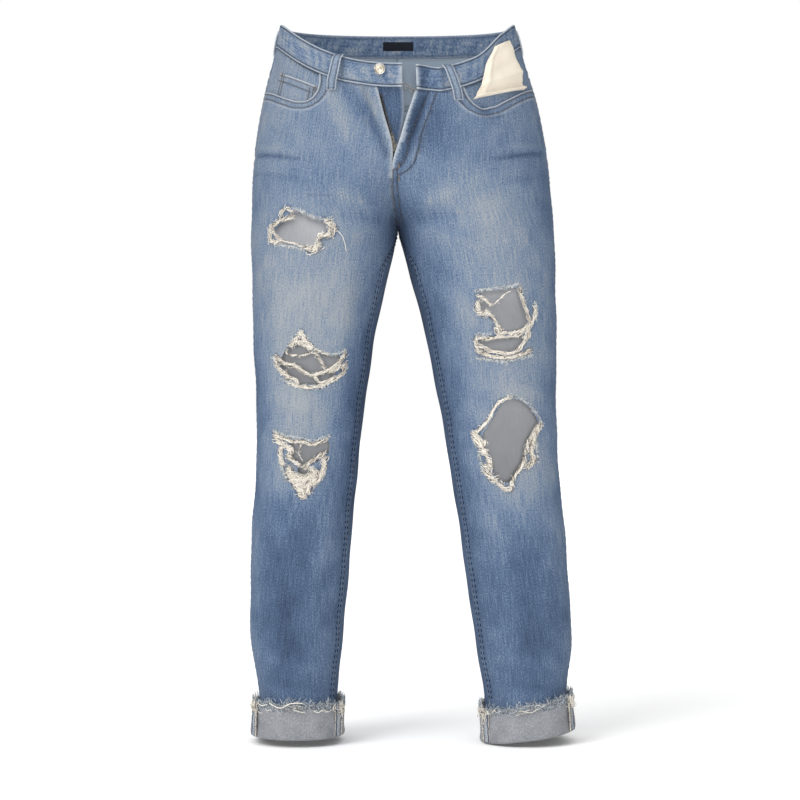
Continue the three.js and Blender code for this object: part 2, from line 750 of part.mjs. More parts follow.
/** Slider: a wedge-shaped body with a bridge on its face for the pull tab. */
function zipSlider() {
  const { wall, length, mouthHalf, footHalf, bridgeWidth } = SLIDER;
  const outline = new THREE.Shape();
  outline.moveTo(-mouthHalf, -1);
  outline.lineTo(-footHalf, -length + 1);
  outline.quadraticCurveTo(0, -length - 1, footHalf, -length + 1);
  outline.lineTo(mouthHalf, -1);
  outline.quadraticCurveTo(0, 0.4, -mouthHalf, -1);
  const body = new THREE.ExtrudeGeometry(outline, { depth: wall, bevelEnabled: false, curveSegments: 4 });
  body.rotateX(Math.PI / 2).translate(0, wall / 2, 0);
  const arch = new THREE.Shape();
  arch.setFromPoints(BRIDGE.map(([down, out]) => new THREE.Vector2(down, out)));
  const strap = new THREE.ExtrudeGeometry(arch, { depth: bridgeWidth, bevelEnabled: false });
  strap.translate(0, 0, -bridgeWidth / 2);
  // The outline's x runs along the zip, and its y out towards the front.
  strap.applyMatrix4(new THREE.Matrix4().set(0, 0, 1, 0, 0, -1, 0, 0, 1, 0, 0, 0, 0, 0, 0, 1));
  return geometryOf(solidOf(body).add(solidOf(strap)));
}

// Pull tab: half widths at its root and tip, length from the pivot, and the eye round the bridge.
const TAB = { root: 1.9, tip: 2.3, length: 18, wall: 1.1, behind: -0.8, shoulder: 6 };
const EYE = { half: 1.1, from: 0.7, to: 5.6 };

/** Pull tab, turned up along the zip. Its eye goes round the slider's bridge, its origin is the pivot. */
function zipPullTab() {
  const { root, tip, length, wall, behind, shoulder } = TAB;
  const outline = new THREE.Shape();
  outline.moveTo(-root, behind);
  outline.lineTo(root, behind);
  outline.lineTo(root, shoulder);
  outline.lineTo(tip, length - 2);
  outline.quadraticCurveTo(0, length + 1, -tip, length - 2);
  outline.lineTo(-root, shoulder);
  const eye = new THREE.Path();
  eye.moveTo(-EYE.half, EYE.from);
  eye.lineTo(-EYE.half, EYE.to);
  eye.lineTo(EYE.half, EYE.to);
  eye.lineTo(EYE.half, EYE.from);
  outline.holes.push(eye);
  const plate = new THREE.ExtrudeGeometry(outline, { depth: wall, bevelEnabled: false, curveSegments: 5 });
  return plate.rotateX(Math.PI / 2).translate(0, wall / 2, 0);
}

// ---- Pulled-out pocket bag ----------------------------------------------------------------------

// The bag's corners: its foot in the pocket's mouth, and its top over the waistband.
const BAG = { footIn: [98, -70], footOut: [166, -50], topIn: [121, 0], topOut: [142, 12] };

/** Cotton bag of the left pocket, pulled up out of the mouth and lying over the waistband. */
function pocketBag() {
  const { footIn, footOut, topIn, topOut } = BAG;
  return frontPatch(LEFT, {
    columns: 6,
    rows: 6,
    corner: (u, v) => [
      mix(mix(footIn[0], footOut[0], u), mix(topIn[0], topOut[0], u), v),
      mix(mix(footIn[1], footOut[1], u), mix(topIn[1], topOut[1], u), v),
    ],
    out: (u, v, x, z) => mix(FACING_OUT + GAP + 2.1, 5, smooth(v * 2.6)) + 3 * Math.sin(Math.PI * u) * v,
    thickness: BAG_WALL,
  });
}

// ---- Back pockets and cuffs ---------------------------------------------------------------------

const BACK_POCKET = [[38, -80], [152, -88], [146, -196], [94, -214], [42, -194]];

/** Patch pocket lying on a back panel, with its lower edge brought to a point. */
function backPocket(side) {
  const cloth = backPanel(side, GAP + CLOTH);
  const outline = BACK_POCKET.map(([x, z]) => [side.sign * x, z]);
  return geometryOf(solidOf(cloth).intersect(backCutter(outline)));
}

/** Point of a turned-up cuff at angle theta, height share v from the fold, and distance out. */
function cuffPoint(side, theta, v, out) {
  const ring = ringAt(side, side.hemZ + v * CUFF_HEIGHT, false);
  const foot = ringAt(side, side.hemZ, false);
  const half = side.cuffHalfWidth;
  const depth = foot.depth + half - foot.reach;
  const x = ring.centreX + (half + out) * spread(Math.cos(theta), 2 / ROUNDNESS);
  const y = foot.centreY - (depth + out) * spread(Math.sin(theta), 2 / ROUNDNESS);
  return new THREE.Vector3(side.sign * x, y, hemHeight(side, theta) + v * CUFF_HEIGHT);
}

/** Turned-up hem: an outer wall with a lip under the leg's edge, where the cloth folds. */
function cuff(side) {
  const angles = steps(28).slice(0, -1).map((u) => u * 2 * Math.PI);
  const lip = -6.5; // the fold reaches this far in under the leg's edge
  const lipTop = CLOTH / CUFF_HEIGHT;
  const row = (v, out) => angles.map((theta) => cuffPoint(side, theta, v, out));
  const outer = [row(0, lip), row(0, -1), row(lipTop, 0), row(0.5, 0), row(1, -1.5)];
  const inner = [row(lipTop, lip), row(lipTop, -CUFF_WALL - 1), row(lipTop * 2, -CUFF_WALL),
    row(0.5, -CUFF_WALL), row(1, -1.5 - CUFF_WALL)];
  return ringGeometry(outer, inner);
}

/** Open seam allowance that shows on the outside of a cuff. */
function cuffSeam(side, { theta, width, wall }) {
  const columns = steps(3).map((u) => theta + ((u - 0.5) * width) / side.cuffHalfWidth);
  const rows = [0.04, 0.5, 1];
  const lean = [0, 0, -1.5]; // the cuff's wall leans in towards the leg at its top
  const outer = rows.map((v, i) => columns.map((t) => cuffPoint(side, t, v, GAP + wall + lean[i])));
  const inner = rows.map((v, i) => columns.map((t) => cuffPoint(side, t, v, GAP + lean[i])));
  return wallGeometry(outer, inner);
}

const CUFF_OUTSEAM = { theta: SIDE_SEAM + 0.35, width: 18, wall: 1.6 };
const CUFF_INSEAM = { theta: Math.PI - 0.55, width: 15, wall: 1.6 };

// ---- Assembly -----------------------------------------------------------------------------------

const jeans = new THREE.Group();

/** Adds one named piece to the jeans, or to a group on them. */
function add(name, geometry, colour, { parent = jeans, metalness = 0, roughness = 0.9 } = {}) {
  const material = new THREE.MeshStandardMaterial({ color: colour, roughness, metalness });
  const mesh = new THREE.Mesh(geometry, material);
  mesh.name = name;
  parent.add(mesh);
  return mesh;
}

for (const side of SIDES) {
  add(`front_panel_${side.name}`, frontPanel(side), COLOURS.denim);
  add(`back_panel_${side.name}`, backPanel(side), COLOURS.denim);
  add(`yoke_${side.name}`, yoke(side), COLOURS.denim);
  add(`pocket_facing_${side.name}`, pocketFacing(side), COLOURS.denim);
  add(`back_pocket_${side.name}`, backPocket(side), COLOURS.denim);
  add(`cuff_${side.name}`, cuff(side), COLOURS.reverse);
  add(`cuff_outseam_${side.name}`, cuffSeam(side, CUFF_OUTSEAM), COLOURS.reverse);
  add(`cuff_inseam_${side.name}`, cuffSeam(side, CUFF_INSEAM), COLOURS.reverse);
  add(`zip_tape_${side.name}`, zipTape(side), COLOURS.tape);
}
const BAND_END = { right: -5.5, left: 23 }; // where the band's loose ends stop, from the middle
add("waistband_front_right", waistbandFront(RIGHT, BAND_END.right), COLOURS.denim);
add("waistband_front_left", waistbandFront(LEFT, BAND_END.left), COLOURS.denim);
add("waistband_back", waistbandBack(), COLOURS.denim);
add("waist_label", waistLabel(), COLOURS.label);
add("waist_button", waistButton(), COLOURS.brass, { metalness: 0.9, roughness: 0.35 });
add("coin_pocket", coinPocket(), COLOURS.denim);
add("fly_shield", flyShield(), COLOURS.denim);
add("pocket_bag_left", pocketBag(), COLOURS.bag);

const metal = { metalness: 0.85, roughness: 0.4 };
jeans.add(sliderPlace);
add("zip_slider", zipSlider(), COLOURS.steel, { parent: sliderPlace, ...metal });
const pullTab = add("zip_pull_tab", zipPullTab(), COLOURS.steel, { parent: sliderPlace, ...metal });
pullTab.position.set(0, -PIVOT.out, -PIVOT.down);

// Angles of each belt loop's top and foot, in degrees.
const LOOPS = [
  { name: "belt_loop_front_right", side: RIGHT, top: 65.5, foot: 64 },
  { name: "belt_loop_front_left", side: LEFT, top: 71, foot: 67.5 },
  { name: "belt_loop_side_right", side: RIGHT, top: -14, foot: -14 },
  { name: "belt_loop_side_left", side: LEFT, top: -14, foot: -14 },
  { name: "belt_loop_back", side: LEFT, top: -90, foot: -90 },
];
const radians = THREE.MathUtils.degToRad;
for (const { name, side, top, foot } of LOOPS) {
  add(name, beltLoop(side, radians(top), radians(foot)), COLOURS.denim);
}

export default jeans;
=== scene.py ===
import logging
import math
from dataclasses import dataclass, field
from enum import Enum
from typing import Callable, Sequence

import bmesh
import bpy
import numpy as np
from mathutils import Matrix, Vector
from mathutils.geometry import delaunay_2d_cdt


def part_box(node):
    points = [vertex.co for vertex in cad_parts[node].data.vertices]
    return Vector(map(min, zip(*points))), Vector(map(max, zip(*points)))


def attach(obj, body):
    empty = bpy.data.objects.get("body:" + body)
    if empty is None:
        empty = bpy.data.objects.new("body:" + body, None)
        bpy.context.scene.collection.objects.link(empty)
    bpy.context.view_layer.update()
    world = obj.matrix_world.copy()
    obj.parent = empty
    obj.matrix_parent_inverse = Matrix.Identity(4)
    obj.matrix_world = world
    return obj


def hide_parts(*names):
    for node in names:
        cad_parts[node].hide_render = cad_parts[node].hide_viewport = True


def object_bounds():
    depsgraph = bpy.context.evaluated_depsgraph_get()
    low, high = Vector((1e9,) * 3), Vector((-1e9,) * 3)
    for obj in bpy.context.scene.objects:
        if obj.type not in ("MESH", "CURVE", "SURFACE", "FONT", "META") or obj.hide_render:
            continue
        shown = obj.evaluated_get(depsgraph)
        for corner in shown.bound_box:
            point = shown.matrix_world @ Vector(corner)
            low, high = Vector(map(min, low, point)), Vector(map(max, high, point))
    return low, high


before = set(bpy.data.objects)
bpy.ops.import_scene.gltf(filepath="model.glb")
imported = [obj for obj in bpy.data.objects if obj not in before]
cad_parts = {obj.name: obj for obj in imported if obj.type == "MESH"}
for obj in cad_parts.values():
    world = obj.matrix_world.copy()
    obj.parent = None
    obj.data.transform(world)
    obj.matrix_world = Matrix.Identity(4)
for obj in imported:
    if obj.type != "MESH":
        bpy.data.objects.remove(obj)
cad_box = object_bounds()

# Ripped five-pocket jeans. Lengths are millimetres in the cutting code and metres in the meshes.
LOG = logging.getLogger("jeans")
MM = 0.001
Array = np.ndarray
Stations = tuple[tuple[float, float], ...]
Outline = Sequence[tuple[float, float]]

CLOTH = 1.3  # one layer of denim
GAP = 0.3
ROUNDNESS = 2.2
CROTCH_Z = -229.0
CROTCH_RISE = 140.0
SIDE_SEAM = math.radians(8)
INSEAM_TURN = math.radians(25)
INSEAM_SETTLE = 60.0
BAND_HEIGHT = 31.0
BAND_HALF = 1.5
BAND_FRONT, BAND_SIDE, BAND_BACK = -25.0, 42.0, 46.0
LEFT_DROOP = 10.0
FLY_TOP_Z = -52.0
FLY_END_Z = -150.0
CUFF_HEIGHT = 46.0
FACING_OUT = -3.7
PATTERN_RADIUS = 100.0  # a pattern's width is its angle times this

FRONT_SEAM: Stations = ((-60, 0), (-130, -5), (-165, -8), (-195, -7), (-229, 0))
HEIGHTS = (60, 0, -70, -150, -229, -290, -387, -515, -642, -770, -850, -910)  # where the form is stated
BAND_ROWS = (0.09, 0.91)  # stitch rows as shares of the band's height
BAND_ENDS = {"right": -5.5, "left": 23.0}  # x of the band's open ends
BUTTON_AT = (23.0, -34.0)
LOOP_AT = {"right": 65.2, "left": 70.5}  # degrees round to the front belt loops
MM_PER_DEGREE = 2.55  # along the band there
WAVE_SCALE = 0.31416  # a wave texture's scale for one line in a unit of length
FLY_CURVE: Outline = (
    (51, -58), (43, -81), (36, -99), (29, -118), (26, -136), (21, -153), (12, -163), (2, -167)
)


def at_heights(*values: float) -> Stations:
    """Stations of the form: one value for each stated height."""
    return tuple(zip(HEIGHTS, values))


DEPTH_FRONT = at_heights(88, 98, 104, 104, 101, 97, 88, 73, 59, 53, 50, 54)
DEPTH_BACK = at_heights(98, 103, 115, 124, 112, 90, 73, 56, 65, 62, 55, 58)


def clamp01(t: Array) -> Array:
    """The value held between 0 and 1."""
    return np.clip(t, 0.0, 1.0)


def smooth(t: Array) -> Array:
    """An eased step from 0 to 1."""
    t = clamp01(t)
    return t * t * (3 - 2 * t)


def mix(a: Array, b: Array, t: Array) -> Array:
    """The value t of the way from a to b."""
    return a + (b - a) * t


def bell(distance: Array, width: Array) -> Array:
    """A soft bump: 1 at no distance, fading out over the width."""
    return np.exp(-((distance / width) ** 2))


def unit(vectors: Array) -> Array:
    """The vectors at a length of 1."""
    return vectors / np.maximum(np.linalg.norm(vectors, axis=-1, keepdims=True), 1e-9)


def spread(value: Array, power: float) -> Array:
    """A power that keeps the sign."""
    return np.sign(value) * np.abs(value) ** power


def along(stations: Stations, z: Array) -> Array:
    """Smooth curve through stations, highest first.

    Args:
        stations: Pairs of height and value.
        z: Heights to read the curve at.

    Returns:
        The values, held level past both ends.
    """
    heights, values = np.array(stations, float).T
    z = np.clip(np.asarray(z, float), heights[-1], heights[0])
    i = np.clip(np.searchsorted(-heights, -z, side="right") - 1, 0, len(heights) - 2)
    before = np.maximum(np.arange(len(heights)) - 1, 0)
    after = np.minimum(np.arange(len(heights)) + 1, len(heights) - 1)
    slope = (values[after] - values[before]) / (heights[before] - heights[after])
    span = heights[i] - heights[i + 1]
    t = (heights[i] - z) / span
    t2, t3 = t * t, t * t * t
    return (
        (2 * t3 - 3 * t2 + 1) * values[i]
        + (t3 - 2 * t2 + t) * span * slope[i]
        + (3 * t2 - 2 * t3) * values[i + 1]
        + (t3 - t2) * span * slope[i + 1]
    )


@dataclass(frozen=True)
class Crease:
    """A soft ridge or trough in the cloth, seen square to the front or the back."""

    start: tuple[float, float]
    end: tuple[float, float]
    width: float
    height: float

    def at(self, x: Array, z: Array) -> Array:
        """Height of the crease at points, fading out at its ends."""
        dx, dz = self.end[0] - self.start[0], self.end[1] - self.start[1]
        length = math.hypot(dx, dz)
        t = ((x - self.start[0]) * dx + (z - self.start[1]) * dz) / length**2
        across = ((x - self.start[0]) * dz - (z - self.start[1]) * dx) / length
        fade = np.sin(math.pi * clamp01((t + 0.15) / 1.3))
        return self.height * fade * bell(across, self.width)


FOLD_SHADOWS = (  # painted shadows: thin dark lines where the front is sharply folded: points, width, depth
    (((33, -70), (22, -108), (13, -136), (2, -156)), 2.0, 0.75),
    (((43, -86), (34, -112), (27, -140)), 1.6, 0.5),
    (((-46, -52), (-30, -98), (-13, -146)), 1.8, 0.42),
    (((-60, -48), (-50, -80), (-41, -104)), 1.5, 0.3),
    (((-203, -133), (-165, -138), (-128, -146)), 1.3, 0.42),
    (((-188, -160), (-150, -166)), 1.4, 0.22),
    (((132, -147), (160, -138), (192, -130)), 1.3, 0.42),
    (((104, -90), (120, -93), (136, -88)), 1.4, 0.4),
    (((112, -101), (128, -100)), 1.4, 0.25),
    (((-116, -194), (-86, -195)), 1.3, 0.3),
    (((-110, -404), (-110, -440), (-111, -495)), 1.0, 0.22),
)

FRONT_CREASES = tuple(
    Crease(*row)
    for row in (
        ((36, -58), (4, -148), 8, -6),  # the valley beside the open fly
        ((48, -66), (22, -142), 7, 2.5),
        ((-74, -40), (-34, -112), 8, -4.5),
        ((-62, -38), (-20, -98), 7, 3),
        ((-88, -44), (-62, -130), 9, 2.5),
        ((106, -78), (128, -92), 7, -3),
        ((-54, -50), (-16, -142), 4, -4.0),
        ((-64, -48), (-34, -118), 4, 2.0),
        ((-202, -132), (-128, -146), 3.2, -3.2),  # whiskers at the hips
        ((-200, -122), (-130, -136), 4, 1.8),
        ((-190, -160), (-110, -178), 5, -1.6),
        ((-172, -96), (-150, -118), 4, -1.6),
        ((200, -132), (122, -146), 3.2, -3.0),
        ((198, -122), (126, -134), 4, 1.8),
        ((190, -164), (108, -184), 5, -1.6),
        ((-14, -214), (-92, -184), 8, 1.6),
        ((-18, -232), (-100, -258), 8, 1.5),
        ((-30, -222), (-110, -222), 6, -1.3),
        ((14, -212), (90, -180), 8, 1.6),
        ((20, -232), (104, -260), 8, 1.5),
        ((32, -222), (112, -220), 6, -1.3),
        ((-128, -190), (-78, -200), 5, 1.1),
        ((-62, -275), (-78, -425), 13, 1.8),
        ((-160, -290), (-150, -400), 13, 1.6),
        ((-112, -440), (-112, -505), 2.2, -0.8),
        ((76, -290), (104, -430), 13, 1.8),
        ((196, -250), (190, -390), 13, 1.6),
        ((-172, -455), (-96, -470), 10, 1.3),
        ((104, -440), (192, -452), 10, 1.3),
        ((-172, -590), (-128, -690), 11, 1.9),
        ((-88, -600), (-112, -720), 11, 1.7),
        ((-150, -690), (-138, -800), 10, -1.6),
        ((118, -590), (150, -700), 11, 1.9),
        ((206, -600), (188, -730), 11, 1.7),
        ((164, -700), (174, -810), 10, -1.6),
        ((-186, -792), (-92, -812), 8, 1.8),
        ((-182, -822), (-96, -836), 6, -1.4),
        ((110, -792), (222, -806), 8, 1.8),
        ((116, -826), (226, -838), 6, -1.4),
    )
)
BACK_CREASES = tuple(
    Crease(*row)
    for row in (
        ((-176, -204), (-58, -240), 11, 2.4),  # under the seat
        ((60, -240), (182, -204), 11, 2.4),
        ((-160, -232), (-44, -266), 9, -2.2),
        ((46, -266), (168, -232), 9, -2.2),
        ((-150, -270), (-48, -286), 9, 1.6),
        ((50, -286), (160, -270), 9, 1.6),
        ((-14, -200), (-80, -150), 9, 1.6),
        ((14, -200), (80, -150), 9, 1.6),
        ((-172, -424), (-70, -440), 8, 2.2),  # behind the knees
        ((-166, -450), (-72, -452), 7, -1.8),
        ((-168, -474), (-80, -464), 8, 1.8),
        ((84, -440), (202, -424), 8, 2.2),
        ((90, -452), (200, -450), 7, -1.8),
        ((96, -464), (206, -474), 8, 1.8),
        ((-160, -300), (-150, -400), 13, 1.6),
        ((-70, -300), (-84, -410), 12, 1.6),
        ((86, -300), (100, -410), 12, 1.6),
        ((186, -290), (190, -400), 13, 1.6),
        ((-170, -560), (-130, -680), 12, 1.9),
        ((-90, -580), (-110, -700), 12, 1.7),
        ((124, -560), (150, -690), 12, 1.9),
        ((206, -580), (190, -710), 12, 1.7),
        ((-186, -790), (-92, -810), 8, 1.8),
        ((110, -790), (222, -806), 8, 1.8),
        ((-182, -824), (-96, -834), 6, -1.4),
        ((116, -824), (226, -838), 6, -1.4),
    )
)


@dataclass(frozen=True)
class LegSide:
    """The cut of one side of the garment, in millimetres."""

    name: str
    sign: int
    outer: Stations
    inner: Stations
    fly_edge: Stations
    hem_height: float
    hem_slope: float
    cuff_half: float
    mouth: Outline
    facing_from: float
    facing_foot: tuple[float, float]

    def ring(self, z: Array, front: Array) -> tuple[Array, ...]:
        """Ring of this side at heights z: seam, centre x, centre y, reach and depth."""
        seam = np.where(front & (z > CROTCH_Z), along(FRONT_SEAM, z), 0.0)
        outer = along(self.outer, z) - self.sign * seam
        inner = along(self.inner, z)
        h = clamp01((z - CROTCH_Z) / CROTCH_RISE)
        parting = (1 - h**1.5) ** 2
        reach = np.where(z > CROTCH_Z, outer / (1 + parting), (outer - inner) / 2)
        ahead, behind = along(DEPTH_FRONT, z), along(DEPTH_BACK, z)
        return seam, outer - reach, (behind - ahead) / 2, reach, (behind + ahead) / 2

    def point(self, theta: Array, z: Array) -> Array:
        """Points of the form: angle 0 at the side, positive over the front, negative over the back."""
        theta, z = np.broadcast_arrays(np.asarray(theta, float), np.asarray(z, float))
        seam, centre_x, centre_y, reach, depth = self.ring(z, np.sin(theta) >= 0)
        x = centre_x + reach * spread(np.cos(theta), 2 / ROUNDNESS)
        y = centre_y - depth * spread(np.sin(theta), 2 / ROUNDNESS)
        return np.stack([seam + self.sign * x, y, z], -1)

    def normal(self, theta: Array, z: Array) -> Array:
        """Outward normals of the form."""
        across = self.point(theta + 0.02, z) - self.point(theta - 0.02, z)
        up = self.point(theta, z + 2) - self.point(theta, z - 2)
        return unit(np.cross(up, across) * self.sign)

    def relief(self, theta: Array, z: Array, x: Array) -> Array:
        """Height of the creases and the cloth's own soft waves."""
        facing = np.sin(theta)
        height = np.zeros_like(x)
        for creases, side in ((FRONT_CREASES, 1), (BACK_CREASES, -1)):
            here = smooth(side * facing / 0.3)
            height += here * sum(crease.at(x, z) for crease in creases)
        calm = 1 - smooth((z + 200) / 60)
        waves = 0.45 * np.sin(z / 21 + 3.1 * theta) + 0.35 * np.sin(z / 11.5 - 4.3 * theta + 1.3 * self.sign)
        return height + waves * mix(0.35, 1, calm)

    def skin(self, theta: Array, z: Array, out: Array) -> Array:
        """Points at a distance out from the form. Creases move every layer together."""
        theta, z = np.broadcast_arrays(np.asarray(theta, float), np.asarray(z, float))
        place = self.point(theta, z)
        lift = np.asarray(out, float) + self.relief(theta, z, place[..., 0])
        return place + self.normal(theta, z) * lift[..., None]

    def theta_at(self, x: Array, z: Array, front: bool = True) -> Array:
        """Angle where the form is x away from the centre seam of the front or the back."""
        x, z = np.broadcast_arrays(np.asarray(x, float), np.asarray(z, float))
        _, centre_x, _, reach, _ = self.ring(z, np.full(z.shape, front))
        share = np.clip((x - centre_x) / reach, -1, 1)
        theta = np.arccos(spread(share, ROUNDNESS / 2))
        return theta if front else -theta

    def front_theta(self, x: Array, z: Array) -> Array:
        """Angle on the front at the garment's own x, left and right measured from its middle."""
        z = np.asarray(z, float)
        seam = np.where(z > CROTCH_Z, along(FRONT_SEAM, z), 0.0)
        return self.theta_at(self.sign * (np.asarray(x, float) - seam), z)

    def angle_per_mm(self, theta: Array, z: Array) -> Array:
        """Angle passed in one millimetre along the ring."""
        chord = np.linalg.norm(self.point(theta + 0.01, z) - self.point(theta - 0.01, z), axis=-1)
        return 0.02 / chord

    def grain(self, theta: Array, z: Array) -> Array:
        """The cloth's own map: distance round the leg from its middle line, and height, in metres."""
        heights = np.arange(72.0, -930.0, -8.0)
        angles = np.linspace(-math.pi - 0.5, math.pi + 0.1, 260)
        ring = self.point(angles[None], heights[:, None])
        step = np.linalg.norm(np.diff(ring, axis=1), axis=-1)
        run = np.concatenate([np.zeros((len(heights), 1)), np.cumsum(step, 1)], 1)
        middle = (along(self.outer, heights) + along(self.inner, heights)) / 2
        line = self.theta_at(middle, heights, front=bool(np.mean(theta) > 0))
        origin = np.array([np.interp(t, angles, row) for t, row in zip(line, run)])
        row = np.clip((heights[0] - z) / 8, 0, len(heights) - 1.001)
        column = np.clip((theta - angles[0]) / (angles[1] - angles[0]), 0, len(angles) - 1.001)
        i, j = row.astype(int), column.astype(int)
        upper = mix(run[i, j], run[i, j + 1], column - j)
        lower = mix(run[i + 1, j], run[i + 1, j + 1], column - j)
        here = mix(upper, lower, row - i) - np.interp(-z, -heights, origin)
        return np.stack([here, z], -1) * MM

    def droop(self, theta: Array) -> Array:
        """How far the loose left end of the waistband hangs down."""
        if self.sign < 0:
            return np.zeros_like(theta)
        degrees = np.degrees(theta)
        drop = LEFT_DROOP * smooth((degrees - 34) / 24) * (1 - 0.45 * smooth((degrees - 74) / 7))
        return np.where(theta < 0, 0.0, drop)

    def band_top(self, theta: Array) -> Array:
        """Height of the waistband's upper edge."""
        theta = np.asarray(theta, float)
        end = np.where(theta < 0, BAND_BACK, BAND_FRONT)
        return mix(end, BAND_SIDE, np.cos(theta) ** 2) - self.droop(theta)

    def band_seam(self, theta: Array) -> Array:
        """Height of the waistband's lower seam."""
        return self.band_top(theta) - BAND_HEIGHT

    def yoke_seam(self, theta: Array) -> Array:
        """Height of the seam between yoke and back panel."""
        theta = np.asarray(theta, float)
        return self.band_seam(theta) - 32 - 40 * np.sin(np.minimum(np.abs(theta), math.pi / 2))

    def hem(self, theta: Array) -> Array:
        """Height of the fold at the foot of the leg."""
        return self.hem_height + self.hem_slope * self.cuff_half * np.cos(theta)

    def inseam(self, z: Array) -> Array:
        """Angle of the inseam, measured over the front."""
        return math.pi - INSEAM_TURN * smooth((CROTCH_Z - np.asarray(z, float)) / INSEAM_SETTLE)

    def front_inner(self, z: Array) -> Array:
        """Angle of the front panel's inner edge: fly edge, centre seam, then inseam."""
        z = np.asarray(z, float)
        x = np.where(z > FLY_END_Z, along(self.fly_edge, z), GAP / 2)
        return np.where(z <= CROTCH_Z, self.inseam(z), self.theta_at(x, z))

    def back_inner(self, z: Array) -> Array:
        """Angle of the back panel's inner edge: centre seam, then inseam."""
        z = np.asarray(z, float)
        return np.where(z > CROTCH_Z, self.theta_at(GAP / 2, z, front=False), self.inseam(z) - 2 * math.pi)

    def fly_lift(self, x: Array, z: Array) -> Array:
        """How far the loosened left fly edge turns outwards."""
        if self.sign < 0:
            return np.zeros_like(x)
        edge = along(self.fly_edge, z)
        return 6 * smooth((z - FLY_END_Z) / 60) * (1 - smooth((x - edge) / 16))


RIGHT = LegSide(
    name="right",
    sign=-1,
    outer=at_heights(151, 164, 181, 192, 194, 193, 190, 186, 194, 195, 184, 190),
    inner=at_heights(*[GAP] * 5, 13, 33, 50, 62, 73, 81, 77),
    fly_edge=((-52, 28), (-92, 15), (-120, 5), (-138, 0.8), (-150, GAP)),
    hem_height=-899,
    hem_slope=0,
    cuff_half=61.5,
    mouth=(
        (101, -22), (101, -48), (104, -59), (110, -67), (119, -71.5), (133, -70), (151, -62), (168, -53),
        (184, -46),
    ),
    facing_from=94,
    facing_foot=(-84, -66),
)
LEFT = LegSide(
    name="left",
    sign=1,
    outer=at_heights(149, 165, 186, 200, 206, 208, 209, 210, 222, 230, 224, 231),
    inner=at_heights(*[GAP] * 5, 16, 40, 64, 84, 102, 115, 115),
    fly_edge=((-52, 25), (-92, 14.5), (-120, 8), (-138, 3), (-150, GAP)),
    hem_height=-900,
    hem_slope=0.14,
    cuff_half=62.5,
    mouth=(
        (80, -30), (82, -46), (86, -58), (91, -68), (99, -77), (110, -81.5), (126, -77), (149, -63),
        (171, -50),
        (190, -42),
    ),
    facing_from=74,
    facing_foot=(-95, -62),
)
SIDES = (RIGHT, LEFT)


# ---- Materials ----------------------------------------------------------------------------------


def linear(colour: str) -> tuple[float, float, float, float]:
    """An sRGB hex colour as linear RGBA."""
    channels = [int(colour[i : i + 2], 16) / 255 for i in (1, 3, 5)]
    return (*[c / 12.92 if c <= 0.04045 else ((c + 0.055) / 1.055) ** 2.4 for c in channels], 1.0)


def plug(tree: bpy.types.NodeTree, node: bpy.types.Node, inputs: dict | Sequence) -> None:
    """Links output sockets to a node's inputs, or sets constants on them, by name or in order."""
    for key, value in inputs.items() if isinstance(inputs, dict) else enumerate(inputs):
        if isinstance(value, bpy.types.NodeSocket):
            tree.links.new(value, node.inputs[key])
        else:
            node.inputs[key].default_value = value


def add_node(
    tree: bpy.types.NodeTree,
    kind: str,
    inputs: dict | Sequence = (),
    output: int | str = 0,
    stops: Sequence[tuple[float, str]] = (),
    **settings: object,
) -> bpy.types.NodeSocket:
    """Adds a shader node with its settings and links.

    Args:
        tree: Tree to add to.
        kind: Node type, after its ShaderNode prefix.
        inputs: Output sockets or constants, by input name or in order.
        output: Which output to give back.
        stops: Places and hex colours of a colour ramp.
        settings: Attributes of the node.

    Returns:
        The output socket.
    """
    node = tree.nodes.new(f"ShaderNode{kind}")
    for name, value in settings.items():
        setattr(node, name, value)
    plug(tree, node, inputs)
    if stops:
        elements = node.color_ramp.elements
        while len(elements) < len(stops):
            elements.new(0.5)
        for element, (place, colour) in zip(elements, stops):
            element.position = place
            element.color = linear(colour)
    return node.outputs[output]


def new_material(name: str) -> tuple[bpy.types.Material, bpy.types.NodeTree, bpy.types.Node]:
    """A new material, its tree and its shader."""
    material = bpy.data.materials.new(name)
    material.use_nodes = True
    tree = material.node_tree
    return material, tree, tree.nodes["Principled BSDF"]


def cloth_noise(
    tree: bpy.types.NodeTree, across_mm: float, down_mm: float, detail: float
) -> bpy.types.NodeSocket:
    """Noise on the cloth's own map, with cells of a real size and octaves of finer detail."""
    grain = add_node(tree, "UVMap", uv_map="cloth")
    size = (1 / (across_mm * MM), 1 / (down_mm * MM), 1)
    scaled = add_node(tree, "Mapping", {"Vector": grain, "Scale": size})
    return add_node(tree, "TexNoise", {"Vector": scaled, "Scale": 1.0, "Detail": detail})


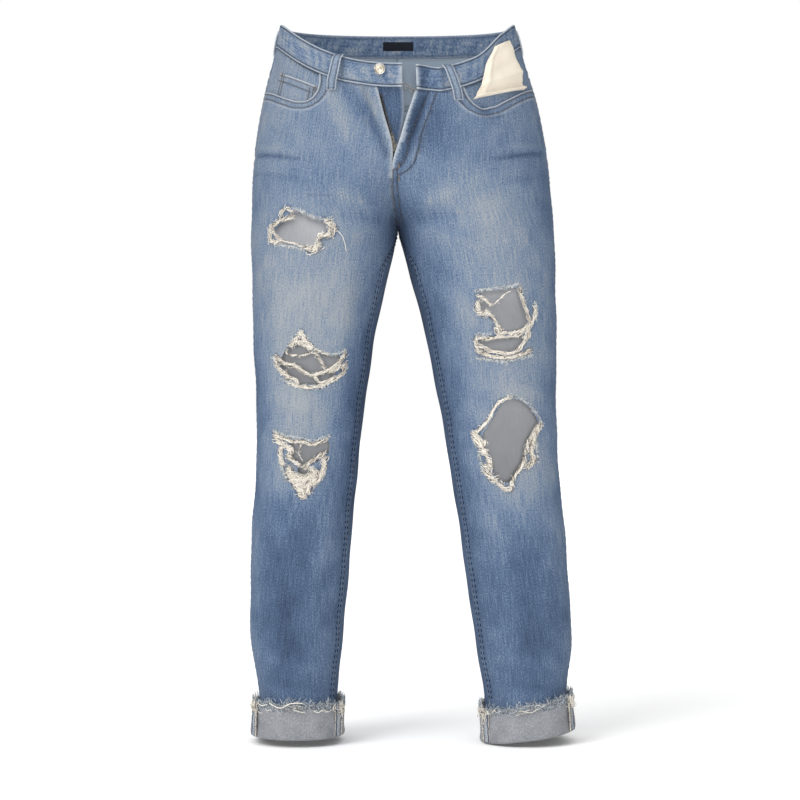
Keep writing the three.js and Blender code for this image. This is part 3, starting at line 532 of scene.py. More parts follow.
@dataclass(frozen=True)
class Denim:
    """Worn indigo twill: matt, with pale wear and painted highlight on edges, dark stitch ditches and painted
    shade along the seam mask, and white weft showing through.
    """

    name: str = "denim_worn_indigo_twill"
    stops: tuple[tuple[float, str], ...] = (
        (0.0, "#212f46"),
        (0.25, "#33455f"),
        (0.45, "#41536d"),
        (0.6, "#53657e"),
        (0.75, "#667383"),
        (0.9, "#767d87"),
        (1.0, "#82878b"),
    )
    # pale: colour of wear and of painted highlight on edges; the colour after it: stitch ditches and painted
    # shade
    pale: str = "#a7adb3"
    ditch_and_shade: str = "#1d2737"
    weft: tuple[tuple[float, str], ...] = ((0.35, "#675a4b"), (0.5, "#a39b8f"), (0.65, "#c4bfb7"))
    twill_mm: float = 1.5  # the real line is about 0.6 mm, drawn coarser so that it shows
    twill_lean: float = math.radians(62)

    def build(self) -> bpy.types.Material:
        """Builds the twill's material."""
        material, tree, shader = new_material(self.name)
        masks = ("tone", "worn", "bare", "seam")
        tone, worn, bare, seam = (
            add_node(tree, "Attribute", output="Fac", attribute_name=name) for name in masks
        )
        slub = cloth_noise(tree, 1.6, 26, 3)
        patch = cloth_noise(tree, 26, 38, 3)
        speck = cloth_noise(tree, 1.3, 2.2, 2)
        weft = cloth_noise(tree, 5, 0.9, 2)
        shade, blotch, grit = (
            add_node(tree, "Math", (noise, amount, -amount / 2), operation="MULTIPLY_ADD")
            for noise, amount in ((slub, 0.75), (patch, 0.34), (speck, 1.15))
        )
        uneven = add_node(tree, "Math", (blotch, grit), operation="ADD")
        uneven = add_node(tree, "Math", (shade, uneven), operation="ADD")
        total = add_node(tree, "Math", (tone, uneven), operation="ADD", use_clamp=True)
        colour = add_node(tree, "ValToRGB", (total,), stops=self.stops)
        grain = add_node(tree, "UVMap", uv_map="cloth")
        turned = add_node(tree, "Mapping", {"Vector": grain, "Rotation": (0, 0, self.twill_lean)})
        lines = {
            "Vector": turned, "Scale": WAVE_SCALE / (self.twill_mm * MM), "Distortion": 0.6, "Detail": 1.0
        }
        twill = add_node(tree, "TexWave", lines, "Fac", wave_profile="SIN")
        lined = add_node(tree, "Math", (twill, 0.07), operation="MULTIPLY")
        rough_wear = add_node(tree, "Math", (speck, 0.45), operation="ADD")
        # wear and painted highlight on edges, broken by speckle
        rubbed = add_node(tree, "Math", (worn, rough_wear), operation="MULTIPLY", use_clamp=True)
        # the seam mask darkens stitch ditches and lays painted shade under the band, in folds and beside
        # yarns and loops
        shaded = add_node(tree, "Math", (seam, 0.8), operation="MULTIPLY")
        broken = add_node(tree, "Math", (weft, 3.0, -1.6), operation="MULTIPLY_ADD")
        ragged = add_node(tree, "Math", (bare, broken), operation="ADD", use_clamp=True)
        open_share = add_node(tree, "Math", (bare, 1.6), operation="MULTIPLY", use_clamp=True)
        opened = add_node(tree, "Math", (ragged, open_share), operation="MULTIPLY", use_clamp=True)
        cotton = add_node(tree, "ValToRGB", (weft,), stops=self.weft)
        pale, ditch_and_shade = linear(self.pale), linear(self.ditch_and_shade)
        for share, other in ((lined, pale), (rubbed, pale), (shaded, ditch_and_shade), (opened, cotton)):
            layers = {"Factor": share, "A": colour, "B": other}
            colour = add_node(tree, "Mix", layers, "Result", data_type="RGBA")
        ribs = add_node(tree, "Math", (twill, 0.5), operation="MULTIPLY")
        threads = add_node(tree, "Math", (slub, speck), operation="ADD")
        height = add_node(tree, "Math", (ribs, threads), operation="ADD")
        bump = add_node(tree, "Bump", {"Strength": 0.5, "Distance": 0.0004, "Height": height})
        plug(
            tree, shader, {"Base Color": colour, "Normal": bump, "Roughness": 0.92, "Specular IOR Level": 0.1}
        )
        return material


@dataclass(frozen=True)
class Cotton:
    """Plain or twill cotton of one colour: matt, with a fine thread grain and faint soiling; given an upper
    colour, it takes that colour up high, grows darker lower down and takes the seam mask's stitch ditches and
    painted shade.
    """

    name: str
    dark: str
    mid: str
    light: str
    across_mm: float = 1.2
    down_mm: float = 1.2
    bump: float = 0.35
    sheen: float = 0.1
    upper: str = ""
    dimmed: str = "#7f8083"
    ditch_and_shade: str = "#3a3733"

    def build(self) -> bpy.types.Material:
        """Builds the cotton's material."""
        material, tree, shader = new_material(self.name)
        fine = cloth_noise(tree, self.across_mm, self.down_mm, 2)
        broad = cloth_noise(tree, 22, 30, 3)
        weights = ((fine, 0.6), (broad, 0.4))
        shares = [add_node(tree, "Math", weight, operation="MULTIPLY") for weight in weights]
        total = add_node(tree, "Math", shares, operation="ADD")
        stops = ((0.3, self.dark), (0.5, self.mid), (0.7, self.light))
        colour = add_node(tree, "ValToRGB", (total,), stops=stops)
        bump = add_node(tree, "Bump", {"Strength": self.bump, "Distance": 0.0004, "Height": fine})
        if self.upper:
            masks = ("lower", "dim", "seam")
            lower, dim, seam = (
                add_node(tree, "Attribute", output="Fac", attribute_name=name) for name in masks
            )
            layers = {"Factor": lower, "A": linear(self.upper), "B": colour}
            colour = add_node(tree, "Mix", layers, "Result", data_type="RGBA")
            # dim makes it darker lower down; seam brings stitch ditches and painted shade
            for mask, darker in ((dim, self.dimmed), (seam, self.ditch_and_shade)):
                share = add_node(tree, "Math", (mask, 0.5), operation="MULTIPLY")
                layers = {"Factor": share, "A": colour, "B": linear(darker)}
                colour = add_node(tree, "Mix", layers, "Result", data_type="RGBA")
        plug(
            tree, shader, {"Base Color": colour, "Normal": bump, "Roughness": 0.93, "Specular IOR Level": 0.2}
        )
        plug(tree, shader, {"Sheen Weight": self.sheen})
        return material


@dataclass(frozen=True)
class Thread:
    """Spun thread, too thin for a pattern of its own: its colour drifts a little from place to place."""

    name: str
    dark: str
    light: str
    cell_mm: float = 3.0
    middle: str = ""

    def build(self) -> bpy.types.Material:
        """Builds the thread's material."""
        material, tree, shader = new_material(self.name)
        place = add_node(tree, "TexCoord", output="Object")
        total = add_node(tree, "TexNoise", {"Vector": place, "Scale": 1 / (self.cell_mm * MM), "Detail": 1.0})
        stops = ((0.35, self.dark), (0.65, self.light))
        if self.middle:
            # shade holds each yarn's own tone with painted shade where it sinks
            shade = add_node(tree, "Attribute", output="Fac", attribute_name="shade")
            drift = add_node(tree, "Math", (total, 1.4, -0.7), operation="MULTIPLY_ADD")
            total = add_node(tree, "Math", (shade, drift), operation="ADD")
            stops = ((0.0, self.dark), (0.4, self.middle), (0.75, self.light))
        colour = add_node(tree, "ValToRGB", (total,), stops=stops)
        plug(tree, shader, {"Base Color": colour, "Roughness": 0.9, "Specular IOR Level": 0.2})
        return material


@dataclass(frozen=True)
class Metal:
    """Plated brass or zinc, tumbled smooth: bright, with faint wear and grime."""

    name: str
    dark: str
    light: str
    roughness: float = 0.32
    grime_mm: float = 2.4

    def build(self) -> bpy.types.Material:
        """Builds the metal's material."""
        material, tree, shader = new_material(self.name)
        place = add_node(tree, "TexCoord", output="Object")
        grime = add_node(
            tree, "TexNoise", {"Vector": place, "Scale": 1 / (self.grime_mm * MM), "Detail": 3.0}
        )
        colour = add_node(tree, "ValToRGB", (grime,), stops=((0.3, self.dark), (0.62, self.light)))
        rough = add_node(tree, "Math", (grime, 0.25, self.roughness - 0.12), operation="MULTIPLY_ADD")
        plug(tree, shader, {"Base Color": colour, "Roughness": rough, "Metallic": 1.0})
        return material


class Finish(Enum):
    """Every finish on the garment."""

    DENIM = Denim()
    REVERSE = Cotton("cuff_pale_reverse_twill", "#5b5e64", "#77797d", "#8f9093", 1.3, 3.0, 0.6)
    # the inside's pale ramp is a brightened copy of the reverse: painted light for the inside of the legs
    # seen through the rips; up high it takes a darker grey-blue
    INSIDE = Cotton(
        "panel_inside_pale_reverse", "#c9cace", "#d5d6da", "#dedfe1", 1.4, 14.0, 0.3, upper="#7b8794"
    )
    POCKETING = Cotton("pocketing_cream_cotton", "#c0b6a8", "#cdc4b5", "#d2cabc", 0.9, 0.9, 0.2)
    TAPE = Cotton("zip_tape_navy_polyester", "#161c25", "#202833", "#2b343f", 0.8, 1.6)
    LABEL = Cotton("label_navy_woven", "#0d0f15", "#11141d", "#1a1f2b", 0.7, 0.7)
    BROWN_THREAD = Thread("topstitch_brown_thread", "#453b31", "#7a6e5d")
    BLUE_THREAD = Thread("topstitch_faded_blue_thread", "#2b3646", "#5a6c83")
    BEIGE_THREAD = Thread("overlock_beige_thread", "#7a6f60", "#bdb5a8")
    DARK_THREAD = Thread("topstitch_dark_thread", "#0c1119", "#1b222c")
    WEFT = Thread("weft_cream_yarn", "#3b3229", "#e4dfd5", 2.0, "#b3a99b")
    WARP = Thread("warp_bleached_yarn", "#3a4654", "#c4c6c5", 1.6, "#8b939a")
    HEM_WARP = Thread("hem_fray_blue_grey_yarn", "#27313d", "#a9afb3", 1.6, "#66717d")
    # nearly black: painted shade for the slider and pull tab sunk in the open fly
    ZIP_METAL = Metal("zip_aged_zinc", "#23221f", "#4a4844")
    TEETH_METAL = Metal("zip_teeth_dark_brass", "#2b2722", "#5d5344", 0.45)
    BUTTON_BRASS = Metal("button_worn_pale_brass", "#a59a85", "#cfc6b3", 0.42, 9.0)
    BUTTON_RIM = Metal("button_rim_nickel", "#6f6f70", "#bdbdbb", 0.36)

    def material(self) -> bpy.types.Material:
        """This finish's material, built on first use."""
        return bpy.data.materials.get(self.value.name) or self.value.build()


# ---- Making meshes ------------------------------------------------------------------------------


def stand(name: str, data: bpy.types.ID) -> bpy.types.Object:
    """Stands an object with its data in the scene."""
    placed = bpy.data.objects.new(name, data)
    bpy.context.scene.collection.objects.link(placed)
    return placed


@dataclass
class Piece:
    """One visible piece and how it is declared to the frame."""

    name: str
    finish: Finish
    slot: str
    nodes: tuple[str, ...] = ()
    reverse: Finish | None = None
    wall: float = 0.0
    body: str = "garment"
    attributes: dict[str, Array] = field(default_factory=dict)

    def finish_mesh(self, mesh: bpy.types.Mesh, uv: Array | None = None) -> bpy.types.Object:
        """Dresses a mesh and hangs it on its body.

        Args:
            mesh: The mesh, in metres, in place.
            uv: One map coordinate for each vertex, in metres of cloth.

        Returns:
            The finished object.
        """
        piece = stand(self.name, mesh)
        mesh.materials.append(self.finish.material())
        if uv is not None:
            layer = mesh.uv_layers.new(name="cloth")
            index = np.empty(len(mesh.loops), int)
            mesh.loops.foreach_get("vertex_index", index)
            layer.data.foreach_set("uv", uv[index].astype(np.float32).ravel())
        for name, values in self.attributes.items():
            attribute = mesh.attributes.new(name, "FLOAT", "POINT")
            attribute.data.foreach_set("value", np.asarray(values, np.float32).ravel())
        mesh.polygons.foreach_set("use_smooth", np.ones(len(mesh.polygons), bool))
        if self.wall:
            solidify = piece.modifiers.new("wall", "SOLIDIFY")
            solidify.thickness = self.wall * MM
            solidify.offset = -1
            solidify.use_even_offset = False
            if self.reverse is not None:
                mesh.materials.append(self.reverse.material())
                solidify.material_offset = 1
        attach(piece, self.body)
        if self.nodes:
            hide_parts(*self.nodes)
        LOG.info("%s: %d faces", self.name, len(mesh.polygons))
        return piece


def mesh_from(name: str, shell: bmesh.types.BMesh) -> bpy.types.Mesh:
    """A mesh from a working one, which is freed."""
    mesh = bpy.data.meshes.new(name)
    shell.to_mesh(mesh)
    shell.free()
    return mesh


def outward(mesh: bpy.types.Mesh, normals: Array) -> None:
    """Turns the mesh over if its faces look against the given vertex normals."""
    count = len(mesh.polygons)
    facing = np.empty(count * 3)
    mesh.polygons.foreach_get("normal", facing)
    first = np.array([p.vertices[0] for p in mesh.polygons])
    if (facing.reshape(-1, 3) * normals[first]).sum() < 0:
        mesh.flip_normals()


def inside(points: Array, outline: Array) -> Array:
    """Whether each point lies in the outline."""
    x, z = points[:, :1], points[:, 1:]
    a, b = outline, np.roll(outline, -1, axis=0)
    crosses = (a[:, 1] > z) != (b[:, 1] > z)
    span = np.where(b[:, 1] == a[:, 1], 1e-9, b[:, 1] - a[:, 1])
    at = a[:, 0] + (z - a[:, 1]) / span * (b[:, 0] - a[:, 0])
    return (crosses & (x < at)).sum(1) % 2 == 1


def distance_to(points: Array, line: Array, closed: bool = True, reach: float = 40.0) -> Array:
    """Distance from each point to a line through corners, exact up to a reach and the reach beyond it."""
    a = line if closed else line[:-1]
    b = np.roll(line, -1, axis=0) if closed else line[1:]
    near = np.all((points > line.min(0) - reach) & (points < line.max(0) + reach), axis=1)
    some = points[near]
    best = np.full(len(some), reach)
    for start, end in zip(a, b):
        step = end - start
        t = clamp01(((some - start) @ step) / max(step @ step, 1e-9))
        gap = some - start - t[:, None] * step
        best = np.minimum(best, np.hypot(gap[:, 0], gap[:, 1]))
    away = np.full(len(points), reach)
    away[near] = best
    return away


def beside(line: Array, gap: float) -> Array:
    """A line moved to its left by a gap."""
    way = unit(np.gradient(line, axis=0))
    return line + np.stack([-way[:, 1], way[:, 0]], -1) * gap


def resample(line: Outline, pitch: float, closed: bool = False) -> Array:
    """Points at an even pitch along a line through corners."""
    corners = np.array(line, float)
    if closed:
        corners = np.vstack([corners, corners[:1]])
    length = np.concatenate([[0], np.cumsum(np.linalg.norm(np.diff(corners, axis=0), axis=1))])
    count = max(2, int(round(length[-1] / pitch)) + 1)
    at = np.linspace(0, length[-1], count)
    points = np.stack([np.interp(at, length, corners[:, k]) for k in range(corners.shape[1])], -1)
    return points[:-1] if closed else points


def rounded(line: Outline, pitch: float, closed: bool = False) -> Array:
    """A line through corners with its corners eased, at an even pitch."""
    points = resample(line, pitch, closed)
    for _ in range(3):
        if closed:
            points = (np.roll(points, 1, 0) + 2 * points + np.roll(points, -1, 0)) / 4
        else:
            points[1:-1] = (points[:-2] + 2 * points[1:-1] + points[2:]) / 4
    return points


@dataclass(frozen=True)
class Pattern:
    """A cut of cloth in the flat, its width being angle times the pattern radius."""

    outline: Array
    cuts: tuple[Array, ...] = ()
    guides: tuple[Array, ...] = ()
    pitch: float = 3.4
    fine: tuple[tuple[float, float, float], ...] = ()
    fine_pitch: float = 1.7

    def lattice(self, pitch: float, low: Array, high: Array) -> Array:
        """Staggered points over a box."""
        rows = np.arange(low[1], high[1], pitch * 0.87)
        columns = np.arange(low[0], high[0], pitch)
        x, z = np.meshgrid(columns, rows)
        x = x + (np.arange(len(rows)) % 2)[:, None] * pitch / 2
        return np.stack([x.ravel(), z.ravel()], -1)

    def mesh_parts(self) -> tuple[Array, list[tuple[int, ...]]]:
        """Fills the outline with even triangles that follow every cut.

        Returns:
            The flat points and the triangles.
        """
        low, high = self.outline.min(0), self.outline.max(0)
        points = self.lattice(self.pitch, low, high)
        for x, z, radius in self.fine:
            centre = np.array([x, z])
            near = np.linalg.norm(points - centre, axis=1) < radius
            dense = self.lattice(self.fine_pitch, centre - radius, centre + radius)
            dense = dense[np.linalg.norm(dense - centre, axis=1) < radius]
            points = np.vstack([points[~near], dense])
        keep = inside(points, self.outline)
        keep[keep] = distance_to(points[keep], self.outline) > self.pitch * 0.4
        points = points[keep]
        for cut in self.cuts:
            keep = ~inside(points, cut)
            keep[keep] = distance_to(points[keep], cut) > self.fine_pitch * 0.5
            points = points[keep]
        for guide in self.guides:
            points = points[distance_to(points, guide, closed=False) > 1.7]
        corners, edges = [points], []
        count = len(points)
        for line in (self.outline, *self.cuts):
            corners.append(line)
            size = len(line)
            edges += [(count + i, count + (i + 1) % size) for i in range(size)]
            count += size
        for guide in self.guides:
            for shift in (-0.9, 0.0, 0.9):
                line = beside(guide, shift)
                free = inside(line, self.outline) & (distance_to(line, self.outline) > 0.5)
                for cut in self.cuts:
                    free &= ~inside(line, cut) & (distance_to(line, cut) > 0.5)
                corners.append(line)
                edges += [(count + i, count + i + 1) for i in np.flatnonzero(free[:-1] & free[1:])]
                count += len(line)
        flat = [Vector(p) for p in np.vstack(corners)]
        found, _, faces, *_ = delaunay_2d_cdt(flat, edges, [], 0, 1e-4, False)
        found = np.array([tuple(p) for p in found])
        faces = np.array(faces)
        centres = found[faces].mean(1)
        keep = inside(centres, self.outline)
        for cut in self.cuts:
            keep &= ~inside(centres, cut)
        faces = faces[keep]
        used, faces = np.unique(faces, return_inverse=True)
        return found[used], [tuple(face) for face in faces.reshape(-1, 3).tolist()]


def mesh_of(name: str, points: Array, faces: Sequence[Sequence[int]]) -> bpy.types.Mesh:
    """A mesh from points in millimetres."""
    mesh = bpy.data.meshes.new(name)
    mesh.from_pydata((points * MM).tolist(), [], faces)
    mesh.update()
    return mesh


def shape_of(shell: bmesh.types.BMesh) -> tuple[Array, list[tuple[int, ...]]]:
    """Vertices and faces of a working mesh, which is freed."""
    points = np.array([v.co[:] for v in shell.verts])
    faces = [tuple(v.index for v in f.verts) for f in shell.faces]
    shell.free()
    return points, faces


def woven_grid(columns: int, rows: int, closed: bool = False) -> tuple[Array, list[tuple[int, ...]]]:
    """A grid made with the grid operator, as places from 0 to 1 and faces.

    Args:
        columns: Steps across.
        rows: Steps along.
        closed: Whether the last row joins the first.

    Returns:
        Places (u, v) of the vertices, and the faces.
    """
    sheet = bmesh.new()
    bmesh.ops.create_grid(sheet, x_segments=columns, y_segments=rows, size=1.0)
    corners, faces = shape_of(sheet)
    places = corners[:, :2] / 2 + 0.5
    if closed:
        last = places[:, 1] > 1 - 0.25 / rows
        order = {round(float(places[i, 0]) * columns): i for i in np.flatnonzero(places[:, 1] < 0.25 / rows)}
        swap = {int(i): order[round(float(places[i, 0]) * columns)] for i in np.flatnonzero(last)}
        faces = [tuple(swap.get(i, i) for i in face) for face in faces]
        used = sorted({i for face in faces for i in face})
        number = {old: new for new, old in enumerate(used)}
        faces = [tuple(number[i] for i in face) for face in faces]
        places = places[used]
    return places, faces


def tubes(paths: Array, radius: Array, sides: int = 3) -> tuple[Array, list[tuple[int, ...]]]:
    """Thin round threads along many paths at once.

    Args:
        paths: Points, as threads by steps by 3.
        radius: One radius for each thread.
        sides: Faces round a thread.

    Returns:
        Vertices and faces of all threads.
    """
    count, steps, _ = paths.shape
    tangent = unit(np.gradient(paths, axis=1))
    reference = np.where(np.abs(tangent[..., 1:2]) < 0.9, [[[0.0, 1.0, 0.0]]], [[[1.0, 0.0, 0.0]]])
    right = unit(np.cross(tangent, reference))
    up = np.cross(right, tangent)
    taper = np.ones(steps)
    taper[0] = taper[-1] = 0.45
    angles = np.arange(sides) * 2 * math.pi / sides
    ring = right[:, :, None] * np.cos(angles)[:, None] + up[:, :, None] * np.sin(angles)[:, None]
    points = paths[:, :, None] + ring * (radius[:, None] * taper)[:, :, None, None]
    base = np.arange(count)[:, None, None] * steps * sides
    row = np.arange(steps - 1)[None, :, None] * sides
    a = base + row + np.arange(sides)[None, None, :]
    b = base + row + (np.arange(sides)[None, None, :] + 1) % sides
    walls = np.stack([a, b, b + sides, a + sides], -1).reshape(-1, 4)
    start = base[:, 0] + np.arange(sides)[::-1]
    end = base[:, 0] + (steps - 1) * sides + np.arange(sides)
    faces = [tuple(face) for face in walls.tolist()]
    faces += [tuple(face) for face in start.tolist()] + [tuple(face) for face in end.tolist()]
    return points.reshape(-1, 3), faces


def dress_yarns(
    name: str,
    finish: Finish,
    slot: str,
    paths: Array,
    radius: Array,
    draw: np.random.Generator,
    lit: Array | None = None,
) -> None:
    """Makes one piece of many loose yarns, each with its own tone, darkened by painted shade where it sinks
    into its rope.

    Args:
        name: Name of the piece.
        finish: Yarn.
        slot: Material slot.
        paths: Yarns by steps by 3.
        radius: One radius for each yarn.
        draw: Random draws.
        lit: How far each point of each yarn stands out of its rope, 0 to 1; lower points get painted shade,
            higher ones are lighter.
    """
    points, faces = tubes(paths, radius)
    shade = draw.normal(0.6, 0.28, (len(paths), 1)) + np.zeros(paths.shape[:2])
    if lit is not None:
        # painted shade on points sunk in the rope, lighter where they stand out
        shade += 0.75 * (lit - 0.6)
    shade = np.repeat(clamp01(shade).ravel(), len(points) // shade.size)
    Piece(name, finish, slot, attributes={"shade": shade}).finish_mesh(mesh_of(name, points, faces))


class Stitching:
    """Rows of stitches gathered into one piece of thread."""

    def __init__(
        self, name: str, finish: Finish, length: float = 2.7, pitch: float = 3.4, radius: float = 0.36
    ):
        """Starts an empty piece.

        Args:
            name: Name of the piece.
            finish: Thread.
            length: Length of one stitch.
            pitch: Distance from stitch to stitch.
            radius: Thread's radius.
        """
        self.name, self.finish = name, finish
        self.length, self.pitch, self.radius = length, pitch, radius
        self.places: list[Array] = []
        self.ways: list[Array] = []
        self.normals: list[Array] = []

    def row(self, path: Array, normals: Array) -> None:
        """Adds a row along a dense path on the cloth."""
        step = np.linalg.norm(np.diff(path, axis=0), axis=1)
        length = np.concatenate([[0], np.cumsum(step)])
        count = int(length[-1] / self.pitch)
        if count < 1:
            return
        at = (np.arange(count) + 0.5) * length[-1] / count
        centre = np.stack([np.interp(at, length, path[:, k]) for k in range(3)], -1)
        ahead = np.stack([np.interp(at + 0.6, length, path[:, k]) for k in range(3)], -1)
        behind = np.stack([np.interp(at - 0.6, length, path[:, k]) for k in range(3)], -1)
        self.places.append(centre)
        self.ways.append(ahead - behind)
        self.normals.append(np.stack([np.interp(at, length, normals[:, k]) for k in range(3)], -1))

    def on_skin(self, side: LegSide, theta: Array, z: Array, out: Array) -> None:
        """Adds a row along angles and heights on the form."""
        out = np.broadcast_to(np.asarray(out, float), np.shape(theta))
        self.row(side.skin(theta, z, out + 0.15), side.normal(theta, z))

    def bar(self, centre: Array, across: Array, down: Array, length: float, width: float) -> None:
        """Adds a bar tack: close stitches across a short line."""
        across, down = unit(across), unit(down)
        normal = np.cross(across, down)
        at = np.linspace(-length / 2, length / 2, max(4, int(length / 0.75)))
        for i, step in enumerate(at):
            lean = 0.25 if i % 2 else -0.25
            self.places.append((centre + down * step)[None])
            self.ways.append(((across + down * lean) * width / self.length)[None])
            self.normals.append(normal[None])

    def build(self, slot: str) -> bpy.types.Object:
        """Makes the piece of thread."""
        bead = bmesh.new()
        bmesh.ops.create_uvsphere(bead, u_segments=6, v_segments=3, radius=1.0)
        shape, faces = shape_of(bead)
        places, ways, normals = (np.vstack(x) for x in (self.places, self.ways, self.normals))
        along_way = unit(ways)
        side = unit(np.cross(along_way, normals))
        up = np.cross(side, along_way)
        points = (
            places[:, None]
            + shape[None, :, 2:3] * (along_way * self.length / 2)[:, None]
            + shape[None, :, 0:1] * (side * self.radius)[:, None]
            + shape[None, :, 1:2] * (up * self.radius * 0.8)[:, None]
        ).reshape(-1, 3)
        count = len(shape)
        all_faces = [tuple(i + k * count for i in face) for k in range(len(places)) for face in faces]
        mesh = mesh_of(self.name, points, all_faces)
        return Piece(self.name, self.finish, slot).finish_mesh(mesh)


# ---- Rips ---------------------------------------------------------------------------------------


@dataclass(frozen=True)
class Rope:
    """Weft yarns hanging together: a line around the rip's centre, a width and how many yarns."""

    line: Outline
    width: float
    yarns: int
    lift: float = 1.2


@dataclass(frozen=True)
class Rip:
    """A torn place in a front panel, in millimetres around its centre."""

    name: str
    side: LegSide
    centre: tuple[float, float]
    holes: tuple[Outline, ...]
    ropes: tuple[Rope, ...]
    fringe: tuple[Outline, ...]
    thread: Outline = ()

    def place(self, line: Outline) -> Array:
        """A line of the rip in the garment's own x and z."""
        return np.array(line, float) + np.array(self.centre)


